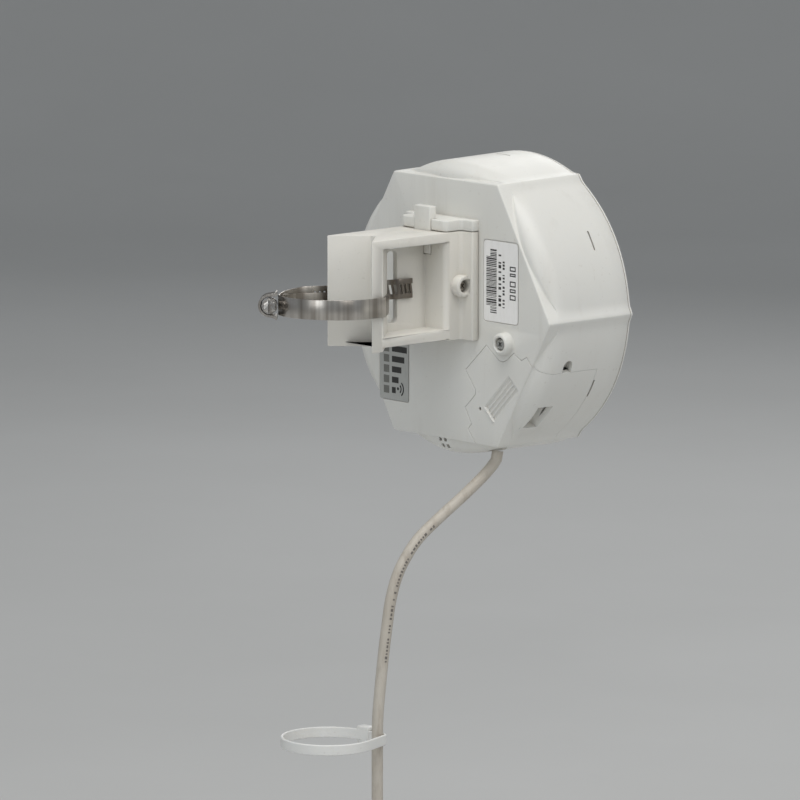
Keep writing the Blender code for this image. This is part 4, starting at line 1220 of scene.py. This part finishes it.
def scoop():
    """A wedge through the facet's wall, deep at the back and running out to the front."""
    flat = apothem(SCOOP_Y)
    section = ((79.6, flat + 11.0), (79.6, flat - 0.2), (85.4, flat - 0.4), (86.2, flat + 0.2),
               (89.4, flat + 8.6), (89.4, flat + 11.0))
    return rings("scoop", [[on_facet(-30, out, across, y) for y, out in section]
                           for across in SCOOP_ACROSS])


def port_cover():
    door = shell_solid("door_cover")
    combine(door, "INTERSECT", [door_cutter("door_part", DOOR_GAP, -0.22, DOOR_FRONT)])
    join(door, grip_lip(), facet_prism("scoop_back", -30, rectangle(-23.2, -6.8, 78.2, 90.4),
                                       apothem(SCOOP_Y) - 2.6, apothem(SCOOP_Y) + 2.6))
    cut(door, grip_well())
    x, z = PIN_HOLE
    hole = [(1.0, 0.0), (1.0, 2.0), (0.7, 2.3), (0.7, 8.0)]
    pin = (x, BACK_Y - 2.0, CASE_Z + z)
    cut(door, scoop(), exit_cut("door_exit"), turned("pin", hole, pin, DEEPER, 24),
        *[grip_groove(row) for row in range(4)])
    return dress(door, "case", "port_door", ["port_door"])


# Front ----------------------------------------------------------------------------------------

def front_dome():
    near = RIM_Y + GAP
    crown = FRONT_Y - near
    rim = ("level", RIM_Y)
    outer = [outline(rim, 0.5, near - RIM_Y), outline(rim, 0.12, near - RIM_Y + 0.15)]
    outer += [outline(rim, 0.0, near - RIM_Y + 0.4), outline(rim, 0.1, near - RIM_Y + 0.8)]
    for inward, share in CROWN:
        outer.append(outline(rim, inward, 0.0, BULGE * (1 - inward / 60), near + crown * share))
    inner = []
    for inward, share in CROWN[:4:-1]:
        inner.append(outline(rim, inward, -2.0, BULGE * (1 - inward / 60), near + crown * share))
    for inward, level in ((3.9, near + 0.8), (3.9, RIM_STEP_Y + 1.9), (2.6, RIM_STEP_Y + 1.9), (2.6, near)):
        inner.append(outline(rim, inward, 0.0, BULGE, level))
    cover = rings("front_dome", inner + outer)
    join(cover, *[latch_arm(turn) for turn in FACETS])
    return dress(cover, "case", "unit", ["front_cover"])


def latch_arm(turn):
    """A snap arm behind each facet's slit, with its nib in the slit."""
    face = apothem(RIM_Y) + BULGE - COLLAR_T - 0.5
    y = DOOR_FRONT + 0.65
    section = ((face - 1.6, RIM_Y + 2.4), (face - 1.6, y - 1.8), (face, y - 1.8), (face, y - 0.2),
               (face + 2.3, y - 0.2), (face + 2.3, y + 0.2), (face, y + 0.6), (face, RIM_Y + 2.4))
    return rings("latch_arm", [[on_facet(turn, out, across, depth) for out, depth in section]
                               for across in (-4.2, 4.2)])


# Labels ---------------------------------------------------------------------------------------

def print_block(x0, x1, z0, z1):
    """One printed area: a very thin block on the label's face, heights over the case's centre."""
    return block("print", (x0, BACK_Y - 0.03, CASE_Z + z0), (x1, BACK_Y + 0.02, CASE_Z + z1))


def label_sheet(name, box, radius):
    x0, x1, z0, z1 = box
    shape = rounded(x0, x1, CASE_Z + z0, CASE_Z + z1, radius)
    return stack(name, shape, [(BACK_Y, 0.08), (BACK_Y + 0.05, 0.0), (BACK_Y + 0.3, 0.0)], "y")


def rating_print():
    """Generic print: a column of stripes, two columns of small blocks and one of bold blocks."""
    random.seed(5)
    marks = []
    z = 1.5
    while z < 30.4:
        thick = random.choice((0.28, 0.28, 0.5, 0.75))
        wide = 27.6 if 4.5 < z < 27.0 else 30.2
        marks.append(print_block(wide, 34.3, z, z + thick))
        z += thick + random.choice((0.3, 0.3, 0.5))
    columns = ((35.6, 37.3, 5.0, 28.0, 1.5, 0.6), (38.3, 39.6, 4.4, 27.4, 1.0, 0.5))
    for x0, x1, low, high, long, step in columns:
        z = low
        count = 0
        while z < high:
            marks.append(print_block(x0, x1, z, z + long * random.choice((0.5, 0.8, 1.0))))
            count += 1
            z += long + step + (1.3 if count % 3 == 0 else 0.0)
    for z, long in ((8.5, 2.4), (11.9, 1.7), (14.5, 2.6), (19.2, 1.5), (21.6, 2.2)):
        marks += bold_block(43.0, 46.8, z, long)
    return merged("rating_marks", marks)


def bold_block(x0, x1, z, long):
    """A bold outlined block: four bars round an empty middle."""
    bar = 0.55
    return [print_block(x0, x1, z, z + bar), print_block(x0, x1, z + long - bar, z + long),
            print_block(x0, x0 + bar, z + bar, z + long - bar),
            print_block(x1 - bar, x1, z + bar, z + long - bar)]


def status_rows():
    return [LED_TOP - 0.1 - row * LED_PITCH for row in range(5)]


def status_windows():
    """Dark tinted squares over the lamps."""
    return merged("status_windows", [print_block(-41.25, -37.5, z - 1.75, z + 1.75) for z in status_rows()])


def status_print():
    """Level bars that shorten downwards, and a small radio-wave sign."""
    ends = (-25.6, -27.3, -29.3, -31.2, -33.1)
    marks = [print_block(-35.7, end, z - 1.4, z + 1.4) for z, end in zip(status_rows(), ends)]
    centre = (-31.6, CASE_Z - 40.6)
    marks.append(prism("print", circle(*centre, 0.72, 20), BACK_Y - 0.03, BACK_Y + 0.02, "y"))
    for radius in (2.1, 3.7):
        band = arc(*centre, radius + 0.38, -52, 52, 16) + arc(*centre, radius - 0.38, 52, -52, 16)
        marks.append(prism("print", band, BACK_Y - 0.03, BACK_Y + 0.02, "y"))
    return merged("status_marks", marks)


def add_labels():
    dress(label_sheet("rating_sheet", RATING_AT, 1.5), "white_film", "unit", ["rating_label"])
    dress(label_sheet("status_sheet", STATUS_AT, 0.6), "grey_film", "unit", ["status_label"])
    dress(rating_print(), "black_ink", "unit")
    dress(status_print(), "black_ink", "unit")
    dress(status_windows(), "grey_ink", "unit")


# Bracket --------------------------------------------------------------------------------------

def saddle_plate():
    half = SADDLE_HALF
    inner_tip = SADDLE_APEX - half * SADDLE_SLOPE
    outer_tip = SADDLE_OUT - half * SADDLE_SLOPE
    flat_y = SADDLE_APEX - SADDLE_FLAT * SADDLE_SLOPE
    shape = [(half, inner_tip), (half, outer_tip), (0.0, SADDLE_OUT), (-half, outer_tip),
             (-half, inner_tip), (-SADDLE_FLAT, flat_y), (SADDLE_FLAT, flat_y)]
    return prism("bracket_body", shape, PLATE_LOW, BRACKET_TOP)


def flange(low, high):
    half = SADDLE_HALF
    tip = SADDLE_OUT - half * SADDLE_SLOPE - 1.2
    shape = [(half, tip), (KNUCKLE_HALF, KNUCKLE_Y + 3.5), (-KNUCKLE_HALF, KNUCKLE_Y + 3.5),
             (-half, tip), (0.0, SADDLE_OUT - 1.2)]
    return prism("flange", shape, low, high)


def knuckle_boss(side):
    profile = [(BOSS_R, 0.0)] + fillet(BOSS_R, KNUCKLE_BOSS_X - 13.0, 0.8)
    return turned("knuckle_boss", profile, (side * 13.0, *KNUCKLE_BOSS), (side, 0, 0))


def knuckle_bore(side):
    profile = [(1.9, 0.0), (1.9, 3.4), (2.9, 3.4), (2.9, 7.0), (3.1, 7.3), (3.6, 7.6), (3.6, 9.0)]
    return turned("knuckle_bore", profile, (side * 12.0, *KNUCKLE_BOSS), (side, 0, 0))


def bracket():
    body = saddle_plate()
    near, far, low, high = WEB_SLOT
    join(body, block("web", (-WEB_T / 2, SADDLE_OUT - 2.5, BRACKET_LOW + 2),
                     (WEB_T / 2, KNUCKLE_Y + 2, BRACKET_TOP - 2)))
    join(body, flange(BRACKET_TOP - FLANGE_T, BRACKET_TOP))
    join(body, flange(PLATE_LOW + 1.9, PLATE_LOW + 1.9 + FLANGE_T))
    join(body, prism("knuckle", hat_outline(BACK_Y - GAP), BRACKET_LOW, BRACKET_TOP))
    cut(body, prism("band_slot", rounded(near, far, low, high, 2.4), -2.6, 2.6, "x"))
    half, head_near, head_far = RAIL_HEAD
    wide, neck = half + 0.4, RAIL_NECK + 0.4
    channel = [(wide, head_near - 0.4), (wide, head_far + 0.4), (neck, head_far + 0.4), (neck, BACK_Y + 1)]
    channel += [(-x, y) for x, y in channel[::-1]]
    cut(body, prism("channel", channel, RAIL_LOW - 0.5, BRACKET_TOP + 1))
    cut(body, block("key_slot", (-KEY_HALF - 0.15, KEY_Y[0] - 0.15, KEY_Z[0] - 0.2),
                    (KEY_HALF + 0.15, KEY_Y[1] + 0.15, BRACKET_TOP + 1)))
    soften(body, 0.4)
    join(body, knuckle_boss(-1), knuckle_boss(1))
    cut(body, knuckle_bore(-1), knuckle_bore(1))
    return dress(body, "bracket", "root", ["pole_bracket"])


def rail_key():
    low, high = KEY_Z
    key = soft_block("rail_key", (-KEY_HALF, KEY_Y[0], low), (KEY_HALF, KEY_Y[1], high), 0.55)
    return dress(key, "case", "lock_key", ["lock_key"])


def screw(name, profile, centre, axis, recess_at, reach):
    """A cross-head screw; recess_at is the head's face along the axis."""
    made = turned(name, profile, centre, axis, 40)
    along = Vector(axis)
    side = along.orthogonal().normalized()
    other = along.cross(side)
    inner = Vector(centre) + along * recess_at
    bars = []
    for a, b in ((side, other), (other, side)):
        loops = []
        for depth, half in ((0.0, 0.25), (reach, 0.42)):
            spot = inner + along * depth
            corners = ((-half, -1.35), (half, -1.35), (half, 1.35), (-half, 1.35))
            loops.append([spot + a * x + b * y for x, y in corners])
        bars.append(rings("bar", loops))
    for bar in bars:
        cut(made, bar)
    return made


def add_screws():
    for side, word in ((-1, "left"), (1, "right")):
        made = screw("case_fixing_" + word, CASE_FIXING, at_boss(side), DEEPER, 1.7, -2.0)
        dress(made, "tin", "unit", ["case_screw_" + word])
        place = (side * 12.0, *KNUCKLE_BOSS)
        made = screw("bracket_fixing_" + word, BRACKET_FIXING, place, (side, 0, 0), 4.4, 2.0)
        dress(made, "screw", "root", ["bracket_screw_" + word])


# Clamp ----------------------------------------------------------------------------------------

def tilt(x, y, z):
    return z + BAND_RISE + BAND_TILT[0] * x + BAND_TILT[1] * y


def saddle_run(side, offset, start, end, steps=4):
    """Points on the outer face of one saddle wing, offset outwards, by distance from the middle."""
    apex = SADDLE_OUT + offset * math.sqrt(1 + SADDLE_SLOPE ** 2)
    spots = [start + (end - start) * step / steps for step in range(steps + 1)]
    return [(side * spot, apex - SADDLE_SLOPE * spot) for spot in spots]


def lifted(points, start, end):
    last = max(len(points) - 1, 1)
    return [Vector((x, y, start + (end - start) * index / last)) for index, (x, y) in enumerate(points)]


def band_line():
    """The band's middle line, as (x, y, height), from the worm once round and on to its free end."""
    near = POLE_R + 0.65
    over = near + BAND_LAP
    first = arc(0, 0, near, 214, 165, 14) + [(-15.9, 20.6)] + saddle_run(-1, 0.65, 13.5, 3.0)
    first += [(-1.3, 35.75), (0.0, 36.3), (1.3, 35.75)] + saddle_run(1, 0.65, 3.0, 13.5)
    first += [(15.9, 20.6)] + arc(0, 0, near, 15, -122, 44)
    climb = arc(0, 0, near + 0.4, -128, -128, 1)[:1]
    second = arc(0, 0, over, -134, -195, 20) + [(-16.9, 21.6)]
    wing = saddle_run(-1, 0.65 + BAND_LAP, 13.0, 3.0) + [(-1.6, 37.6)]
    end = [(0.0, 39.1), (1.4, 40.0), (2.4, 41.6), (2.7, 44.0), (2.7, 49.0)]
    path = lifted(first + climb, 0.0, 0.0) + lifted(second, 0.0, 3.0) + lifted(wing, 3.4, 6.0)
    return eased(path + lifted(end, 6.2, 6.8))


def eased(path):
    """Round each corner of a path with short chords."""
    done = [path[0]]
    for before, here, after in zip(path, path[1:], path[2:]):
        back, on = before - here, after - here
        bend = back.to_2d().angle(-on.to_2d(), 0.0)
        if bend < math.radians(9):
            done.append(here)
            continue
        reach = min(0.9, back.length * 0.42, on.length * 0.42)
        start, end = here + back.normalized() * reach, here + on.normalized() * reach
        for share in (0.0, 0.33, 0.67, 1.0):
            done.append(start.lerp(here, share).lerp(here.lerp(end, share), share))
    return done + [path[-1]]


def band_frame(path, index):
    before, after = path[max(index - 1, 0)], path[min(index + 1, len(path) - 1)]
    along = (after - before).to_2d().normalized()
    return along, Vector((along.y, -along.x))


def band_section():
    """Half the band's height and thickness at each corner of its rounded section."""
    flat, full = BAND_T / 2, BAND_W / 2
    return ((1.0, -full + 0.25), (1.0, full - 0.25), (0.7, full - 0.06), (0.25, full), (-0.25, full),
            (-0.7, full - 0.06), (-1.0, full - 0.25), (-1.0, -full + 0.25), (-0.7, -full + 0.06),
            (-0.25, -full), (0.25, -full), (0.7, -full + 0.06)), flat


def clamp_strip():
    path = band_line()
    section, flat = band_section()
    loops = []
    for index, spot in enumerate(path):
        side = band_frame(path, index)[1]
        loop = []
        for share, level in section:
            x, y = spot.x + side.x * flat * share, spot.y + side.y * flat * share
            loop.append((x, y, tilt(x, y, spot.z + level)))
        loops.append(loop)
    strip = rings("hose_band", loops, 40)
    cut(strip, *[thread_slot(path, SLOT_PITCH * index - 0.2) for index in range(SLOT_COUNT)])
    return dress(strip, "steel", "root", ["clamp_band"])


def thread_slot(path, from_end):
    """A slanting slot through the band for the worm's thread, by distance from its free end."""
    index = len(path) - 1
    left = from_end
    while index > 1 and (path[index] - path[index - 1]).length < left:
        left -= (path[index] - path[index - 1]).length
        index -= 1
    along, side = band_frame(path, index)
    back = (path[index - 1] - path[index]).normalized()
    spot = path[index] + back * left
    corners = ((-0.95, 2.1), (0.2, 2.1), (0.95, -2.1), (-0.2, -2.1))
    loops = []
    for through in (-0.9, 0.9):
        loop = []
        for run, level in corners:
            x = spot.x + along.x * run + side.x * through
            y = spot.y + along.y * run + side.y * through
            loop.append((x, y, tilt(x, y, spot.z + level)))
        loops.append(loop)
    return rings("slot", loops)


def clamp_frame():
    turn = math.radians(CLAMP_TURN)
    return Vector((math.cos(turn), math.sin(turn), 0)), Vector((-math.sin(turn), math.cos(turn), 0))


def clamp_point(out_mm, z, along_mm):
    out, along = clamp_frame()
    spot = out * out_mm + along * along_mm
    return (spot.x, spot.y, tilt(spot.x, spot.y, z))


def arch_points(radius, centre):
    return [(centre + radius * math.sin(math.radians(turn)), -radius * math.cos(math.radians(turn)))
            for turn in range(0, 181, 9)]


def worm_housing():
    """A pressed hood over the worm, with flared ends and feet rolled round the band."""
    loops = []
    for along, flare in ((-5.5, 0.28), (-5.3, 0.34), (-4.8, 0.1), (-4.0, 0.0), (4.0, 0.0), (4.8, 0.1),
                         (5.3, 0.34), (5.5, 0.28)):
        shape = [(22.5, -6.3), (23.1, -6.45), (23.3, -5.8)] + arch_points(4.9 + flare, SCREW_OUT)
        shape += [(23.3, 5.8), (23.1, 6.45), (22.5, 6.3), (22.5, 4.4)]
        shape += arch_points(3.9 + flare, SCREW_OUT)[::-1] + [(22.5, -4.4)]
        loops.append([clamp_point(out, z, along) for out, z in shape])
    housing = rings("worm_housing", loops, 40)
    return dress(housing, "steel", "root", ["clamp_housing"])


def worm_screw():
    """The worm with its thread, collar and slotted hexagon head."""
    out, along = clamp_frame()
    centre = Vector(clamp_point(SCREW_OUT, 0.0, 0.0))
    axis = (Vector(clamp_point(SCREW_OUT, 0.0, 1.0)) - centre).normalized()
    side = (out - axis * out.dot(axis)).normalized()
    other = axis.cross(side)
    loops = [thread_ring(centre, axis, side, other, -7.4 + 0.2 * step) for step in range(WORM_STEPS)]
    for radius, length in ((2.0, 6.3), (2.0, 6.8), (3.3, 6.8), (3.55, 7.0), (3.55, 7.5)):
        loops.append(wheel(centre + axis * length, side, other, radius, WORM_SIDES))
    for length, shrink in ((7.5, 0.0), (10.1, 0.0), (10.45, 0.25), (10.6, 0.9)):
        loops.append([hex_point(centre + axis * length, side, other, step / WORM_SIDES, 2.75 - shrink)
                      for step in range(WORM_SIDES)])
    worm = rings("worm_screw", loops, 35)
    cut(worm, rings("slot", [[centre + axis * length + side * a + other * b
                              for a, b in rectangle(-0.5, 0.5, -4.5, 4.5)] for length in (9.3, 12.0)]))
    return dress(worm, "screw", "clamp_screw", ["clamp_screw"])


def thread_ring(centre, axis, side, other, length):
    """One ring of the worm, whose radius swells where the thread's turn passes."""
    loop = []
    ends = min((length + 7.4) / 1.2, (6.2 - length) / 0.8, 1.0)
    for step in range(WORM_SIDES):
        share = step / WORM_SIDES
        wave = abs(((length / SLOT_PITCH - share) % 1.0) * 2 - 1)
        radius = 2.35 + 0.7 * max(ends, 0.0) * min(max(wave * 1.9 - 0.45, 0.0), 1.0)
        turn = 2 * math.pi * share
        loop.append(centre + axis * length + (side * math.cos(turn) + other * math.sin(turn)) * radius)
    return loop


def hex_point(centre, side, other, share, flat):
    turn = 2 * math.pi * share
    bend = (math.degrees(turn) + 30) % 60 - 30
    radius = min(flat / math.cos(math.radians(bend)), flat * 1.12)
    return centre + (side * math.cos(turn) + other * math.sin(turn)) * radius


# Inside ---------------------------------------------------------------------------------------

def numbered(word, count):
    return tuple(f"{word}_{index}" for index in range(1, count + 1))


CAD_LOOKS = (
    ("board", ("main_board", "feed_board", "led_strip")),
    ("screw", numbered("board_screw", 4)),
    ("gold", numbered("antenna_patch", 4) + numbered("rf_feed_pin", 2)),
    ("nylon", numbered("feed_spacer", 4) + ("reset_button",)),
    ("tin", ("rf_shield", "antenna_reflector")),
    ("dark", ("ethernet_jack", "reset_switch")),
    ("clear", ("inner_plug",)),
    ("lamp", numbered("led_window", 5)),
    ("cable", ("inner_lead",)),
    ("rubber", ("housing_seal",)),
)


def dress_cad_nodes():
    for look, names in CAD_LOOKS:
        for name in names:
            dress(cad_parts[name], look)


def grommet():
    """A ribbed rubber sleeve in the case's cable exit."""
    x, y = EXIT_AT
    low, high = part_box("cable_grommet")
    low_z, high_z = low.z / MM, high.z / MM
    profile = [(3.1, low_z), (3.6, low_z + 0.15), (4.1, low_z + 0.9)]
    z = low_z + 1.3
    while z < high_z - 1.2:
        profile += [(GROMMET_R, z), (GROMMET_R, z + 0.7)]
        profile += [(GROMMET_R - 0.35, z + 0.95), (GROMMET_R - 0.35, z + 1.3)]
        z += 1.6
    profile += [(GROMMET_R - 0.2, high_z - 0.2), (3.7, high_z)]
    profile = [(radius, z - low_z) for radius, z in profile]
    made = turned("entry_grommet", profile, (x, y, low_z), UP, 40)
    return dress(made, "pale_rubber", "unit", ["cable_grommet"])


def board_parts():
    """Chips, capacitors and a crystal on the main board's front."""
    random.seed(3)
    y = BOARD_FRONT + 0.15
    parts = []
    for x, z, wide, tall, thick in CHIPS:
        low = (x - wide / 2, y, CASE_Z + z - tall / 2)
        parts.append(soft_block("chip", low, (x + wide / 2, y + thick, CASE_Z + z + tall / 2), 0.25, 2))
    for x, z in CANS:
        profile = [(2.9, 0.0), (3.0, 0.3), (3.0, 6.2)] + fillet(3.0, 7.0, 0.5)
        parts.append(turned("can", profile, (x, y, CASE_Z + z), DEEPER, 28))
    for _ in range(SMALL_PARTS):
        x = random.uniform(-34, 34)
        z = random.choice((-18.0, -31.0, 28.0, 39.0)) + random.uniform(-1.5, 1.5)
        if abs(x - EXIT_AT[0]) < 11 and z < 0:
            continue
        low = (x - 0.8, y, CASE_Z + z - 0.4)
        parts.append(soft_block("chip", low, (x + 0.8, y + 0.6, CASE_Z + z + 0.4), 0.1, 1))
    return dress(merged("board_parts", parts), "dark", "unit")


# Studio ---------------------------------------------------------------------------------------

def add_floor():
    """A flat floor that sweeps up behind the object."""
    level = CAD_BOX[0].z / MM - FLOOR_DROP
    profile = [(FLOOR_NEAR, level), (SWEEP_START, level)]
    for turn in range(10, 91, 10):
        bend = math.radians(turn)
        profile.append((SWEEP_START + SWEEP_R * math.sin(bend), level + SWEEP_R * (1 - math.cos(bend))))
    profile.append((SWEEP_START + SWEEP_R, level + SWEEP_UP))
    aim = Vector(VIEW_LINE)
    side = Vector((aim.y, -aim.x, 0.0))
    points, faces = [], []
    for reach, height in profile:
        for across in (-FLOOR_HALF, FLOOR_HALF):
            points.append(aim * reach + side * across + UP * height)
    for row in range(len(profile) - 1):
        faces.append([2 * row, 2 * row + 1, 2 * row + 3, 2 * row + 2])
    sheet = make("floor", points, faces)
    sheet.data.materials.append(floor_look("floor_paint"))


def add_light(name, place, aim, size, power, tint):
    lamp = bpy.data.lights.new(name, "AREA")
    lamp.shape = "RECTANGLE"
    lamp.size = lamp.size_y = size
    lamp.energy = power
    lamp.color = tint
    made = bpy.data.objects.new(name, lamp)
    PARTS.objects.link(made)
    made.location = place
    made.rotation_euler = (Vector(aim) - Vector(place)).to_track_quat("-Z", "Y").to_euler()


def add_studio():
    world = bpy.data.worlds.new("studio")
    world.use_nodes = True
    sky = world.node_tree.nodes["Background"]
    sky.inputs[0].default_value = SKY
    sky.inputs[1].default_value = SKY_POWER
    bpy.context.scene.world = world
    for light in LIGHTS:
        add_light(*light)
    bpy.context.scene.view_settings.view_transform = "Standard"


add_camera()
add_cable()
rear_case()
port_cover()
front_dome()
add_labels()
bracket()
rail_key()
add_screws()
clamp_strip()
worm_housing()
worm_screw()
dress_cad_nodes()
grommet()
board_parts()
add_floor()
add_studio()
